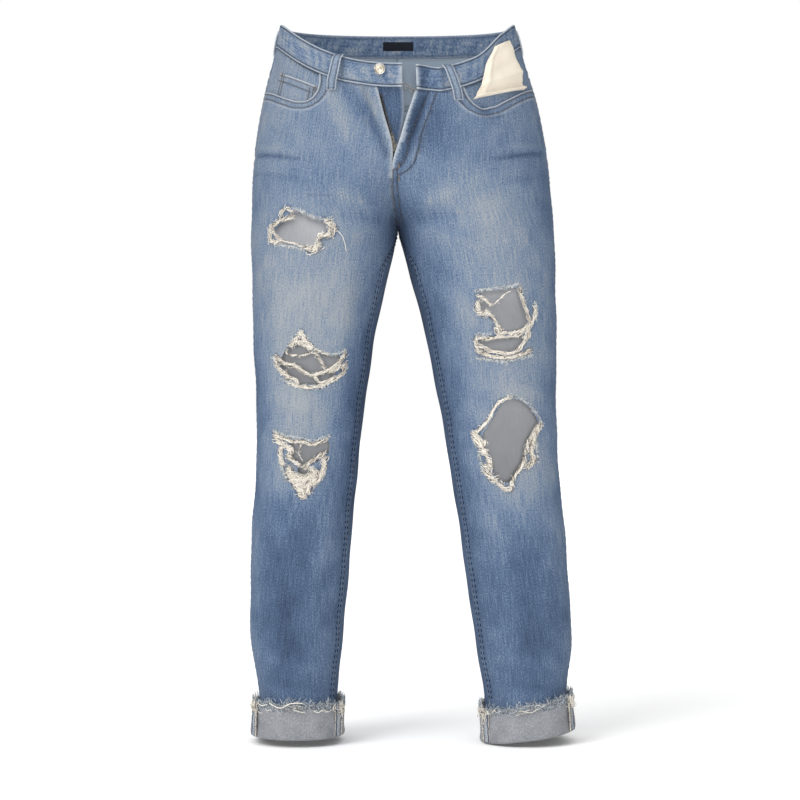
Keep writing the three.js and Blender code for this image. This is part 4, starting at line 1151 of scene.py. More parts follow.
RIPS = (
    Rip(
        "thigh_right",
        RIGHT,
        (-119, -235),
        (
            (
                (-22, 13), (-13, 20), (-6, 20), (0, 14), (8, 11), (20, 7), (28, 2), (26, -5), (20, -10),
                (16, -20),
                (4, -24), (-8, -20), (-20, -18), (-34, -15), (-40, -6), (-34, 2), (-25, 6),
            ),
        ),
        (
            Rope(((-32, 14), (-31, 22), (-23, 26), (-15, 21), (-16, 14)), 5, 9, 1.2),
            Rope(((-12, 13), (-24, 12), (-35, 8), (-45, 1)), 5, 22, 2.0),
            Rope(((-45, 2), (-46, -8), (-43, -18), (-32, -17)), 4, 20, 1.6),
            Rope(((-44, 0), (-38, -9), (-30, -16)), 4, 14, 1.4),
            Rope(((-44, -18), (-28, -17), (-11, -21), (0, -26)), 2.4, 14, 1.2),
            Rope(((-1, -25), (7, -28), (19, -21)), 5, 20, 1.6),
            Rope(((18, -22), (15, -30), (9, -31), (3, -26)), 6, 24, 1.4),
            Rope(((25, 9), (33, 5), (38, -3)), 6, 18, 2.0),
            Rope(((29, 6), (33, -4), (27, -11), (18, -9), (17, -20)), 5, 26, 2.0),
            Rope(((39, -1), (36, -9), (29, -13)), 4, 12, 1.6),
        ),
        (
            ((-14, 24), (-4, 20), (8, 14), (24, 9), (34, 12)),
            ((-46, 4), (-47, -18)),
            ((-40, -20), (0, -28)),
        ),
        ((38, -1), (47, -10), (51, -22), (52, -31)),
    ),
    Rip(
        "knee_right",
        RIGHT,
        (-113, -407),
        (
            (
                (-38, 2), (-30, 13), (-26, 22), (-12, 20), (4, 14), (15, 9), (26, 5), (36, 8), (38, -2),
                (31, -12),
                (22, -22), (8, -27), (-14, -27), (-22, -20), (-33, -10),
            ),
        ),
        (
            Rope(((-29, 17), (-31, 10), (-17, 8), (-5, 9), (6, 14)), 2, 12, 1.0),
            Rope(((-11, 39), (-17, 30), (-26, 19)), 5, 24, 1.0),
            Rope(((-11, 39), (-7, 27), (4, 17)), 5, 24, 1.0),
            Rope(((-20, 27), (-12, 26), (-6, 22), (4, 17)), 5, 26, 1.0),
            Rope(
                ((-43, 6), (-32, -2), (-17, -5), (-5, -15), (7, -17), (19, -12), (32, -5), (40, 5), (45, 13)),
                4, 44, 2.2,
            ),
            Rope(((5, 13), (12, 4), (17, -4), (20, -12)), 3, 16, 1.8),
            Rope(((-44, 8), (-42, -5), (-34, -14), (-26, -20)), 5, 26, 1.4),
            Rope(((-34, -12), (-28, -20), (-20, -22), (-15, -29)), 5, 24, 1.4),
            Rope(((-30, -25), (-14, -31), (1, -33), (15, -30), (29, -24), (42, -14), (45, 0)), 3.6, 26, 1.2),
            Rope(((5, -18), (12, -27), (23, -24), (33, -18)), 3, 16, 1.6),
            Rope(((20, -13), (32, -10), (43, -3)), 6, 24, 1.6),
            Rope(((5, 16), (15, 12), (25, 8)), 2.4, 10, 1.0),
        ),
        (
            ((-30, 17), (-20, 30), (-11, 40)),
            ((4, 17), (16, 13), (28, 9), (40, 12), (46, 16)),
            ((-36, -22), (-14, -34), (16, -33), (44, -14)),
        ),
    ),
    Rip(
        "shin_right",
        RIGHT,
        (-124, -530),
        (
            (
                (-15, 19), (0, 20), (12, 16), (33, 20), (32, 6), (20, -3), (8, -9), (1, -12), (-9, -4),
                (-18, 2), (-12, 9),
            ),
            ((-5, -17), (2, -13), (11, -24), (2, -27)),
        ),
        (
            Rope(((-37, 31), (-25, 25), (-13, 20), (0, 21), (12, 16), (33, 24)), 3.4, 30, 1.4),
            Rope(((-36, 26), (-28, 19), (-20, 14), (-13, 9), (-18, 1)), 6, 34, 1.8),
            Rope(((-27, 14), (-28, 0), (-24, -11)), 6, 30, 1.6),
            Rope(((-19, 0), (-9, -7), (1, -14)), 4, 20, 2.0),
            Rope(((31, 7), (20, 0), (9, -8), (1, -14)), 4, 22, 2.0),
            Rope(((1, 20), (-5, 6), (1, -5)), 0.8, 3, 1.0),
            Rope(((28, 2), (28, -14), (23, -27), (13, -34)), 7, 38, 1.8),
            Rope(((-18, -12), (-15, -26), (-8, -36), (-1, -47)), 6, 36, 1.4),
            Rope(((9, -12), (17, -22), (12, -34), (6, -48)), 6, 34, 1.4),
            Rope(((-20, -17), (-8, -24), (4, -27), (20, -19)), 7, 40, 1.8),
            Rope(((-16, -25), (-2, -31), (16, -27)), 7, 40, 1.4),
            Rope(((-11, -33), (2, -38), (13, -33)), 7, 36, 1.6),
            Rope(((-6, -41), (3, -46), (9, -40)), 7, 30, 1.2),
            Rope(((-4, -48), (2, -53), (5, -46)), 5, 20, 1.2),
        ),
        (
            ((-38, 34), (-20, 27), (0, 24), (14, 20), (36, 28)),
            ((-30, -4), (-20, -30)),
            ((30, -20), (16, -38)),
        ),
    ),
    Rip(
        "thigh_left",
        LEFT,
        (139, -352),
        (
            (
                (-34, 32), (-20, 34), (-3, 36), (15, 39), (19, 27), (23, 14), (31, 4), (30, -10), (19, -15),
                (4, -18),
                (-6, -13), (-14, -2), (-24, 8), (-34, 13), (-30, 22),
            ),
            (
                (-36, -30), (-26, -25), (-6, -24), (17, -22), (24, -22), (16, -38), (8, -43), (-12, -42),
                (-26, -37),
            ),
        ),
        (
            Rope(((-37, 30), (-27, 25), (-19, 17)), 4, 18, 1.8),
            Rope(((-35, 23), (-37, 12), (-31, 6), (-23, 10)), 6, 28, 1.8),
            Rope(((-27, 10), (-16, 2), (-12, -8), (-3, -17)), 3.6, 22, 1.8),
            Rope(((-11, -18), (4, -19), (20, -15), (31, -6)), 4, 26, 2.0),
            Rope(((16, 41), (20, 26), (27, 10), (31, -7)), 3.4, 22, 1.8),
            Rope(((38, 18), (37, 3), (30, -10), (22, -26)), 4, 24, 1.8),
            Rope(((-38, -24), (-25, -26), (-6, -23), (17, -21), (30, -11)), 3.2, 26, 1.8),
            Rope(((-13, -10), (-10, -18), (-4, -24)), 7, 26, 1.6),
            Rope(((-37, -32), (-21, -41), (-1, -45), (13, -43), (22, -32), (31, -16)), 4, 36, 2.0),
            Rope(((-34, -41), (-20, -48), (3, -50), (21, -45), (33, -39)), 4, 30, 1.4),
            Rope(((-19, 16), (-11, 23), (-3, 31), (6, 37)), 1.4, 7, 2.2),
            Rope(((-38, -24), (-39, -34), (-34, -44)), 4, 18, 1.6),
        ),
        (
            ((-39, 36), (-20, 38), (0, 40), (16, 45)),
            ((38, 22), (39, 0)),
            ((-38, -50), (0, -55), (34, -46)),
            ((-38, -20), (-20, -19)),
        ),
    ),
    Rip(
        "knee_left",
        LEFT,
        (145, -508),
        (
            (
                (-6, 49), (4, 52), (15, 49), (27, 37), (36, 22), (27, 10), (21, 0), (18, -12), (17, -26),
                (10, -36),
                (3, -46), (0, -54), (-10, -52), (-18, -46), (-21, -31), (-25, -18), (-31, -9), (-34, 6),
                (-27, 16),
                (-19, 30), (-14, 41),
            ),
        ),
        (
            Rope(((0, 56), (-15, 50), (-22, 39), (-29, 25), (-38, 15), (-47, 9)), 3, 34, 1.4),
            Rope(((-46, 11), (-44, 0), (-36, -9), (-31, 0)), 6, 30, 1.8),
            Rope(((-46, 10), (-38, 2), (-37, -8), (-30, -16)), 6, 34, 1.8),
            Rope(((-38, -10), (-30, -19), (-26, -28), (-24, -38)), 6, 34, 1.6),
            Rope(((-31, -30), (-27, -46), (-16, -53)), 7, 36, 1.6),
            Rope(((-16, -53), (-8, -62), (1, -64), (3, -54)), 5, 24, 1.4),
            Rope(((42, 21), (31, 11), (23, -2), (20, -18)), 4, 26, 1.8),
            Rope(((38, 20), (31, 4), (27, -14), (31, -28), (20, -35)), 6, 46, 1.8),
            Rope(((20, -22), (14, -36), (6, -46), (1, -58)), 3.4, 26, 1.6),
        ),
        (
            ((-4, 57), (10, 56), (24, 47), (34, 35), (43, 21)),
            ((-48, 12), (-44, -8)),
            ((-40, -14), (-34, -44)),
            ((-14, -60), (2, -66)),
            ((34, 0), (36, -28)),
        ),
    ),
)


def torn(line: Array, rng: np.random.Generator, depth: float = 0.5, grow: float = 2.0) -> Array:
    """A closed cut line made a little wider and ragged, at a pitch of two millimetres."""
    points = rounded(line, 2.0, closed=True)
    after = np.roll(points, -1, 0)
    area = np.sum(points[:, 0] * after[:, 1] - after[:, 0] * points[:, 1])
    return beside(points, -math.copysign(grow, area)) + rng.normal(0, depth, points.shape)


class RipDressing:
    """Yarns, fringe and loose thread on one rip."""

    def __init__(self, rip: Rip, seed: int):
        """Keeps the rip and its own random draws."""
        self.rip = rip
        self.rng = np.random.default_rng(seed)

    def over_cloth(self, x: Array, z: Array, out: Array) -> Array:
        """Points over the front panel at the garment's own x and z."""
        side = self.rip.side
        return side.skin(side.front_theta(x, z), z, out)

    def yarn_paths(self, rope: Rope, steps: int = 15) -> tuple[Array, Array]:
        """Paths of one rope's yarns, wavy and loosely gathered, and how far each point stands out."""
        line = rounded(self.rip.place(rope.line), 1.0)
        at = np.linspace(0, 1, len(line))
        draw = self.rng
        count = max(3, round(rope.yarns * 0.62))
        start = draw.uniform(-0.04, 0.18, count) * draw.integers(0, 2, count)
        end = 1 - draw.uniform(-0.04, 0.22, count) * draw.integers(0, 2, count)
        t = clamp01(start[:, None] + (end - start)[:, None] * np.linspace(0, 1, steps))
        x, z = (np.interp(t, at, line[:, k]) for k in (0, 1))
        way = unit(np.stack([np.gradient(x, axis=1), np.gradient(z, axis=1)], -1))
        base = draw.normal(0, 0.42, (count, 1))
        length = np.linalg.norm(np.diff(line, axis=0), axis=1).sum()
        turn = draw.uniform(0.7, 1.35, (count, 1)) * max(length / 15, 0.8)
        phase = draw.uniform(0, 2 * math.pi, (count, 1))
        wave = base + 0.6 * np.sin(2 * math.pi * turn * t + phase)
        flare = 1 + 0.7 * np.abs(2 * t - 1) ** 3
        off = wave * flare * rope.width / 2 + draw.normal(0, 0.32, t.shape)
        swell = 0.5 + 0.5 * np.cos(2 * math.pi * turn * t + phase)
        rise = 0.5 + rope.lift * (swell + 0.25) * draw.uniform(0.7, 1.3, (count, 1))
        x = x - way[..., 1] * off
        z = z + way[..., 0] * off
        return self.over_cloth(x, z, rise), swell

    def loose_ends(self, rope: Rope, steps: int = 15) -> Array:
        """Paths of short curled ends that leave a rope sideways."""
        draw = self.rng
        line = rounded(self.rip.place(rope.line), 1.0)
        count = round(rope.yarns * 1.3)
        root = line[draw.integers(0, len(line), count)]
        angle = draw.uniform(0, 2 * math.pi, (count, 1))
        reach = draw.uniform(1.5, 5.0, (count, 1))
        curl = draw.normal(0, 1.6, (count, 1))
        t = np.linspace(0, 1, steps)[None]
        heading = angle + curl * t
        scatter = rope.width / 4
        x = root[:, :1] + np.cumsum(np.cos(heading), 1) * reach / steps + draw.normal(0, scatter, (count, 1))
        z = root[:, 1:] + np.cumsum(np.sin(heading), 1) * reach / steps + draw.normal(0, scatter, (count, 1))
        return self.over_cloth(x, z, 0.4 + draw.uniform(0.2, 1.8, (count, 1)) * np.sin(math.pi * t * 0.8))

    def fringe_paths(self, line: Outline, steps: int = 6) -> Array:
        """Paths of short bleached ends along a torn edge."""
        draw = self.rng
        edge = rounded(self.rip.place(line), 0.5)
        count = len(edge)
        way = np.gradient(edge, axis=0)
        level = np.abs(way[:, 0]) > np.abs(way[:, 1])
        angle = np.where(level, math.pi / 2, 0.0) + draw.normal(0, 0.8, count)
        angle = angle + math.pi * draw.integers(0, 2, count)
        reach = draw.uniform(1.5, 7.0, count)
        curl = draw.normal(0, 1.6, count)
        t = np.linspace(-0.5, 0.5, steps)[None]
        heading = angle[:, None] + curl[:, None] * t
        x = edge[:, :1] + draw.normal(0, 0.7, (count, 1)) + np.cos(heading) * reach[:, None] * t
        z = edge[:, 1:] + draw.normal(0, 0.7, (count, 1)) + np.sin(heading) * reach[:, None] * t
        return self.over_cloth(x, z, 0.35 + draw.uniform(0.1, 1.3, (count, 1)) * (0.6 + t))

    def dress(self) -> None:
        """Makes the rip's yarns and its fringe."""
        rip, draw = self.rip, self.rng
        yarns, swells = zip(*[self.yarn_paths(rope) for rope in rip.ropes])
        ends = np.concatenate([self.loose_ends(rope) for rope in rip.ropes])
        paths = np.concatenate([*yarns, ends])
        lit = np.concatenate([*swells, np.full(ends.shape[:2], 0.75)])
        radius = draw.uniform(0.22, 0.46, len(paths))
        if rip.thread:
            line = rip.place(rip.thread)
            loose = rounded(line, np.linalg.norm(np.diff(line, axis=0), axis=1).sum() / 14)[:15]
            lift = np.linspace(1.0, 2.2, len(loose))
            paths = np.concatenate([paths, self.over_cloth(loose[:, 0], loose[:, 1], lift)[None]])
            radius = np.append(radius, 0.5)
            lit = np.vstack([lit, np.ones((1, lit.shape[1]))])
        name = f"weft_yarns_{rip.name}"
        dress_yarns(name, Finish.WEFT, "denim_reverse", paths, radius, draw, lit)
        ends = np.concatenate([self.fringe_paths(line) for line in rip.fringe])
        name = f"warp_fringe_{rip.name}"
        dress_yarns(name, Finish.WARP, "denim", ends, draw.uniform(0.32, 0.56, len(ends)), draw)


# ---- Wash and wear ------------------------------------------------------------------------------


@dataclass(frozen=True)
class Wash:
    """Where the garment has faded: heights and how light the middle and the edges of a leg are."""

    middle_right: Stations = (
        (46, 0.71), (-60, 0.71), (-130, 0.67), (-185, 0.66), (-240, 0.80), (-330, 0.88), (-407, 0.91),
        (-500, 0.88),
        (-560, 0.74), (-610, 0.38), (-700, 0.23), (-800, 0.27), (-860, 0.37),
    )
    middle_left: Stations = (
        (46, 0.71), (-60, 0.67), (-130, 0.63), (-185, 0.74), (-240, 0.80), (-330, 0.79), (-434, 0.79),
        (-500, 0.84),
        (-560, 0.82), (-610, 0.59), (-660, 0.36), (-700, 0.30), (-800, 0.33), (-860, 0.41),
    )
    edges_right: Stations = (
        (46, 0.74), (-60, 0.76), (-150, 0.68), (-230, 0.66), (-330, 0.68), (-400, 0.44), (-560, 0.46),
        (-640, 0.62),
        (-860, 0.62),
    )
    edges_left: Stations = (
        (46, 0.68), (-60, 0.64), (-150, 0.50), (-230, 0.45), (-330, 0.49), (-420, 0.51), (-560, 0.53),
        (-640, 0.58),
        (-860, 0.59),
    )
    patches: tuple[tuple[float, ...], ...] = (
        (46, -98, 26, 44, -0.29), (-32, -222, 24, 34, -0.12), (-100, -175, 34, 26, -0.08),
        (-6, -205, 12, 34, 0.08),
        (28, -288, 22, 44, 0.13), (120, -225, 40, 44, 0.06), (-96, -330, 30, 60, 0.05),
        (104, -150, 34, 20, -0.06),
    )
    back: Stations = (
        (46, 0.66), (-150, 0.72), (-240, 0.70), (-330, 0.62), (-500, 0.58), (-640, 0.48), (-860, 0.48)
    )

    def tone(self, side: LegSide, theta: Array, z: Array) -> Array:
        """How light the indigo is, 0 dark and 1 nearly white, with painted shade in crease troughs and on the
        inner leg and painted highlight on crease ridges.
        """
        theta, z = np.broadcast_arrays(np.asarray(theta, float), np.asarray(z, float))
        front = theta >= 0
        share = np.abs(theta) / math.pi
        central = bell(share - 0.44, 0.24)
        edges, middle = (
            (self.edges_right, self.middle_right) if side is RIGHT else (self.edges_left, self.middle_left)
        )
        ahead = mix(along(edges, z), along(middle, z), central)
        behind = mix(along(edges, z), along(self.back, z), central)
        tone = np.where(front, ahead, mix(ahead, behind, smooth(share / 0.15)))
        # darker towards the inner leg: partly the wash, partly painted shade
        inner = smooth((share - 0.60) / 0.32) * smooth((-z - 150) / 60)
        x = side.point(theta, z)[..., 0]
        ridge = side.relief(theta, z, x)
        for middle_x, middle_z, wide, tall, amount in self.patches:
            spot = np.exp(-(((x - middle_x) / wide) ** 2) - ((z - middle_z) / tall) ** 2)
            tone = tone + np.where(front, amount * spot, 0.0)
        # painted shade in crease troughs, painted highlight on crease ridges
        return tone - 0.20 * inner + 0.055 * np.clip(ridge, -6, 3)


WASH = Wash()


# ---- Cloth pieces -------------------------------------------------------------------------------


def flat_line(theta: Array, z: Array) -> Array:
    """Angles and heights as points of a flat pattern."""
    return np.stack([np.broadcast_to(theta, np.shape(z)) * PATTERN_RADIUS, z], -1)


def edge_line(angle: Callable[[Array], Array], high: float, low: float, pitch: float) -> Array:
    """Edge of a pattern that runs down at an angle that changes with height."""
    z = np.arange(high, low, -pitch)
    z = np.append(z, low)
    return flat_line(angle(z), z)


def level_line(height: Callable[[Array], Array], start: float, end: float, pitch: float) -> Array:
    """Edge of a pattern that runs round at a height that changes with angle."""
    count = max(3, int(abs(end - start) * PATTERN_RADIUS / pitch))
    theta = np.linspace(start, end, count)
    return flat_line(theta, height(theta))


def settle(height: Callable[[Array], Array], angle: Callable[[Array], Array], guess: float) -> float:
    """Height where an edge that runs round meets an edge that runs down."""
    z = guess
    for _ in range(8):
        z = float(height(angle(np.array(z))))
    return z


@dataclass
class LegCloth:
    """The front panel, back panel and yoke of one side, cut on the garment's form."""

    side: LegSide
    upper_thread: Stitching
    leg_thread: Stitching
    pitch: float = 3.4
    back_pitch: float = 4.6
    seam_rise: float = 0.7  # a felled seam stands this proud
    seam_width: float = 9.0
    hem_tuck: float = 8.0
    rows_at: tuple[float, float] = (2.3, 8.4)  # the two rows of a topstitched edge

    def shape(
        self,
        name: str,
        nodes: tuple[str, ...],
        pattern: Pattern,
        layer: Callable[[Array, Array], Array],
        worn: Callable[[Array, Array], Array],
        shift: float = 0.0,
    ) -> bpy.types.Object:
        """Cuts a pattern, lays it on the form, gives it its wall and sews its rows.

        Args:
            name: Name of the piece.
            nodes: CAD nodes it stands for.
            pattern: Flat pattern, its guides being the rows of stitches.
            layer: Distance out from the form at angles and heights.
            worn: How pale the rubbed edges are, partly wear and partly painted highlight, at angles and
                heights.
            shift: Change of tone of the whole piece.

        Returns:
            The piece.
        """
        flat, faces = pattern.mesh_parts()
        theta, z = flat[:, 0] / PATTERN_RADIUS, flat[:, 1]
        seam = np.zeros(len(flat))
        for row in pattern.guides:
            depth = 0.45 if row[:, 1].mean() < CROTCH_Z - 20 else 1.0
            seam = np.maximum(seam, depth * bell(distance_to(flat, row, False, 6.0), 0.7))
            free = inside(row, pattern.outline)
            for cut in pattern.cuts:
                free &= ~inside(row, cut)
            if free.sum() > 3:
                angle, height = row[free, 0] / PATTERN_RADIUS, row[free, 1]
                thread = self.leg_thread if height.mean() < CROTCH_Z - 20 else self.upper_thread
                thread.on_skin(self.side, angle, height, layer(angle, height))
        points = self.side.skin(theta, z, layer(theta, z) - 0.25 * seam)
        mesh = mesh_of(name, points, faces)
        outward(mesh, self.side.normal(theta, z))
        piece = Piece(name, Finish.DENIM, "denim", nodes, Finish.INSIDE, CLOTH)
        bare, shadow = self.bareness_and_yarn_shadow(flat)
        # painted shadow in the sharp folds of the lower front legs
        for points_of, width, depth in FOLD_SHADOWS:
            if z.min() < -600 and theta.mean() > 0 and points_of[1][0] * self.side.sign > 0:
                gap = distance_to(flat, self.to_flat(rounded(points_of, 2.0)), False, 8.0)
                shadow = np.maximum(shadow, depth * bell(gap, width))
        # painted shadow under the waistband seam
        under_band = self.side.band_seam(theta) - z
        shadow = np.maximum(shadow, 0.75 * bell(under_band, 2.2))
        piece.attributes = {
            "tone": WASH.tone(self.side, theta, z) + shift,
            "worn": worn(theta, z),
            "bare": bare,
            # seam: stitch ditches, with painted shadows under the band, in folds and beside yarns
            "seam": np.maximum(seam, shadow),
            # lower: where the inside's brightened, painted-light colour takes over; dim: darker lower down
            "lower": smooth((-z - 130) / 60),
            "dim": smooth((-z - 270) / 60),
        }
        return piece.finish_mesh(mesh, self.side.grain(theta, z))

    def rips(self) -> list[Rip]:
        """This side's rips."""
        return [rip for rip in RIPS if rip.side is self.side]

    def to_flat(self, line: Array) -> Array:
        """A line on the front, in the garment's x and z, as flat pattern points."""
        return flat_line(self.side.front_theta(line[:, 0], line[:, 1]), line[:, 1])

    def bareness_and_yarn_shadow(self, flat: Array) -> tuple[Array, Array]:
        """How much of the indigo warp is gone near the rips, and the painted shadow on the cloth beside the
        yarns.
        """
        bare, shadow = np.zeros(len(flat)), np.zeros(len(flat))
        if flat[:, 0].mean() < 0:
            return bare, shadow
        for rip in self.rips():
            for rope in rip.ropes:
                line = self.to_flat(rounded(rip.place(rope.line), 3.0))
                gap = distance_to(flat, line, False, 12.0)
                bare = np.maximum(bare, 0.7 * (1 - smooth((gap - rope.width * 0.2) / 2.4)))
                shadow = np.maximum(shadow, 0.62 * bell(gap - rope.width * 0.5 - 0.7, 1.3))
            for edge in rip.fringe:
                line = self.to_flat(rounded(rip.place(edge), 3.0))
                gap = distance_to(flat, line, False, 12.0)
                bare = np.maximum(bare, 0.45 * (1 - smooth((gap - 0.8) / 3.0)))
        return bare, shadow * (1 - bare)

    def seam_layer(self, inner: Callable[[Array], Array]) -> Callable[[Array, Array], Array]:
        """Distance out of a panel whose edges are felled and puckered."""

        def layer(theta: Array, z: Array) -> Array:
            """Distance out from the form at angles and heights."""
            per_mm = self.side.angle_per_mm(theta, z)
            to_inner = np.abs(theta - inner(z)) / per_mm
            to_side = np.abs(theta - SIDE_SEAM) / per_mm
            near = np.minimum(to_inner, to_side)
            pucker = 1 + 0.35 * np.sin(z / 1.35 + 2.0 * np.sin(z / 9.0))
            edge = self.seam_rise * (1 - smooth((near - 2) / (self.seam_width - 2))) * pucker
            return edge - 0.5 * bell(near - self.seam_width, 2.5) * pucker

        return layer

    def panel(self, top: Callable, inner: Callable, foot: Callable, guess: float, pitch: float) -> Array:
        """Outline of a panel between two heights that run round, from its inner edge to the side seam."""
        side_edge = np.array(SIDE_SEAM)
        high = settle(top, inner, guess)
        low = settle(foot, inner, self.side.hem_height if guess < 0 else -80.0)
        down = edge_line(inner, high, low, pitch)
        along_foot = level_line(foot, float(inner(np.array(low))), SIDE_SEAM, pitch)
        up = edge_line(
            lambda z: np.full(np.shape(z), SIDE_SEAM), float(top(side_edge)), float(foot(side_edge)), pitch
        )
        along_top = level_line(top, SIDE_SEAM, float(inner(np.array(high))), pitch)
        return np.vstack([down, along_foot[1:-1], up[::-1], along_top[1:-1]])

    def hem(self, theta: Array) -> Array:
        """Height where a panel's foot hides in its cuff."""
        return self.side.hem(theta) + self.hem_tuck

    def front_rows(self, mouth: Array) -> list[Array]:
        """Rows of stitches on the front panel."""
        side = self.side
        rows = [beside(mouth, gap) for gap in self.rows_at]
        z = np.arange(CROTCH_Z - 4, side.hem_height + CUFF_HEIGHT + 2, -2.0)
        for gap in (2.2, 7.0):
            rows.append(flat_line(side.inseam(z) - gap * side.angle_per_mm(side.inseam(z), z), z))
        if side is LEFT:
            rows += [beside(self.to_flat(rounded(FLY_CURVE, 2.0)), gap) for gap in (0.0, 5.5)]
            z = np.arange(-160.0, CROTCH_Z + 3, -2.0)
            rows += [flat_line(side.theta_at(np.full_like(z, gap), z), z) for gap in (2.0, 7.0)]
        return rows

    def front(self) -> bpy.types.Object:
        """Cuts the front panel with its pocket mouth and rips."""
        side = self.side
        rng = np.random.default_rng(11 + side.sign)
        outline = self.panel(side.band_seam, side.front_inner, self.hem, -80.0, 2.6)
        mouth = self.to_flat(rounded([(side.sign * x, z) for x, z in side.mouth], 2.0))
        edge = SIDE_SEAM * PATTERN_RADIUS
        mouth[-1, 0] = edge - 6
        far = np.array([(edge - 12, -38.0), (edge - 12, 60.0), (mouth[0, 0], 60.0)])
        cuts, fine = [np.vstack([mouth, far])], []
        for x, z, radius in ((side.sign * 130, -62, 56.0), (side.sign * 12, -110, 66.0)):
            middle = self.to_flat(np.array([(x, z)], float))[0]
            fine.append((middle[0], middle[1], radius))
        for rip in self.rips():
            cuts += [self.to_flat(torn(rip.place(hole), rng)) for hole in rip.holes]
            middle = self.to_flat(np.array([rip.centre], float))[0]
            fine.append((middle[0], middle[1], 62.0))
        pattern = Pattern(outline, tuple(cuts), tuple(self.front_rows(mouth)), self.pitch, tuple(fine))
        seams = self.seam_layer(side.front_inner)

        def layer(theta: Array, z: Array) -> Array:
            """Distance out from the form at angles and heights."""
            seam_x = side.sign * np.where(z > CROTCH_Z, along(FRONT_SEAM, z), 0)
            x = side.sign * side.point(theta, z)[..., 0] - seam_x
            lift = np.where(z > FLY_END_Z, side.fly_lift(x, z), 0.0)
            flat = flat_line(theta, z)
            to_mouth = distance_to(flat, mouth, False)
            rim = 0.6 * (1 - smooth((to_mouth - 7) / 3))
            tears = np.zeros_like(x)
            for cut in cuts[1:]:
                gap = distance_to(flat, cut[::2])
                tears += np.exp(-gap / 7) * (1.1 + 0.9 * np.sin(flat[:, 0] / 4.1 + flat[:, 1] / 5.3))
            loose = np.where(z > FLY_END_Z, smooth((z - FLY_END_Z) / 40), 0.0)
            return seams(theta, z) * np.clip(1 - loose, 0.25, 1) + lift + rim + tears

        def worn(theta: Array, z: Array) -> Array:
            """How pale the rubbed edges are at angles and heights, partly wear and partly painted highlight
            on the folded fly edge and along the side seam.
            """
            per_mm = side.angle_per_mm(theta, z)
            to_inner = np.abs(theta - side.front_inner(z)) / per_mm
            to_side = np.abs(theta - SIDE_SEAM) / per_mm
            to_mouth = distance_to(flat_line(theta, z), mouth, False)
            rims = 0.95 * bell(to_mouth, 1.3) + 0.35 * bell(to_mouth - 10.5, 1.4)
            fly = np.where(z > FLY_END_Z - 20, 0.95, 0.3) * bell(to_inner, 1.9)
            return clamp01(rims + fly + 0.5 * bell(to_side, 1.8))

        piece = self.shape(
            f"front_panel_cloth_{side.name}", (f"front_panel_{side.name}",), pattern, layer, worn
        )
        return piece

    def back(self) -> bpy.types.Object:
        """Cuts the back panel, from the yoke seam to the hem."""
        side = self.side
        outline = self.panel(side.yoke_seam, side.back_inner, self.hem, -80.0, self.back_pitch)
        z = np.arange(float(side.yoke_seam(np.array(SIDE_SEAM))) - 2, -170.0, -2.0)
        theta = np.full_like(z, SIDE_SEAM)
        rows = [flat_line(theta - self.rows_at[0] * side.angle_per_mm(theta, z), z)]
        if side is LEFT:
            z = np.arange(-75.0, CROTCH_Z + 2, -2.0)
            rows += [
                flat_line(side.theta_at(np.full_like(z, gap), z, front=False), z) for gap in self.rows_at
            ]
        piece = self.shape(
            f"back_panel_cloth_{side.name}",
            (f"back_panel_{side.name}",),
            Pattern(outline, (), tuple(rows), self.back_pitch),
            self.seam_layer(side.back_inner),
            lambda theta, z: 0.5 * bell(z - side.yoke_seam(theta), 2.5),
        )
        return piece

    def yoke(self) -> bpy.types.Object:
        """Cuts the yoke between waistband and back panel."""
        side = self.side
        outline = self.panel(side.band_seam, side.back_inner, side.yoke_seam, 0.0, 2.6)
        theta = np.linspace(SIDE_SEAM - 0.02, -math.pi / 2 + 0.01, 150)
        rows = [flat_line(theta, side.yoke_seam(theta) + gap) for gap in self.rows_at]
        seams = self.seam_layer(side.back_inner)
        piece = self.shape(
            f"yoke_cloth_{side.name}",
            (f"yoke_{side.name}",),
            Pattern(outline, (), tuple(rows), 2.6),
            lambda theta, z: seams(theta, z) + 0.5 * (1 - smooth((z - side.yoke_seam(theta) - 2) / 8)),
            lambda theta, z: 0.6 * bell(z - side.yoke_seam(theta), 2.2),
        )
        return piece

    def facing(self) -> bpy.types.Object:
        """Cuts the denim facing seen inside the front pocket's mouth."""
        side = self.side
        start = float(side.theta_at(side.facing_from, -60.0))

        def foot(theta: Array) -> Array:
            """Height of the facing's lower edge."""
            x = side.point(theta, np.full(np.shape(theta), -70.0))[..., 0] * side.sign
            return mix(side.facing_foot[0], side.facing_foot[1], (x - side.facing_from) / 100)

        def layer(theta: Array, z: Array) -> Array:
            """Distance out from the form at angles and heights."""
            inwards = smooth((theta - SIDE_SEAM) * PATTERN_RADIUS / 15)
            slack = 0.5 * np.sin(z / 7 + theta * 9) * inwards
            return mix(-0.4, FACING_OUT + 0.2, inwards) + slack

        top = level_line(lambda t: side.band_seam(t) - 0.5, SIDE_SEAM, start, 3.0)
        outline = np.vstack([top, level_line(foot, start, SIDE_SEAM, 3.0)])
        piece = self.shape(
            f"pocket_facing_cloth_{side.name}",
            (f"pocket_facing_{side.name}",),
            Pattern(outline, (), (), 3.0),
            layer,
            lambda theta, z: np.zeros(np.shape(z)),
            shift=0.02,
        )
        return piece

    def build(self) -> None:
        """Builds the four pieces of cloth of this side."""
        self.front()
        self.back()
        self.yoke()
        self.facing()


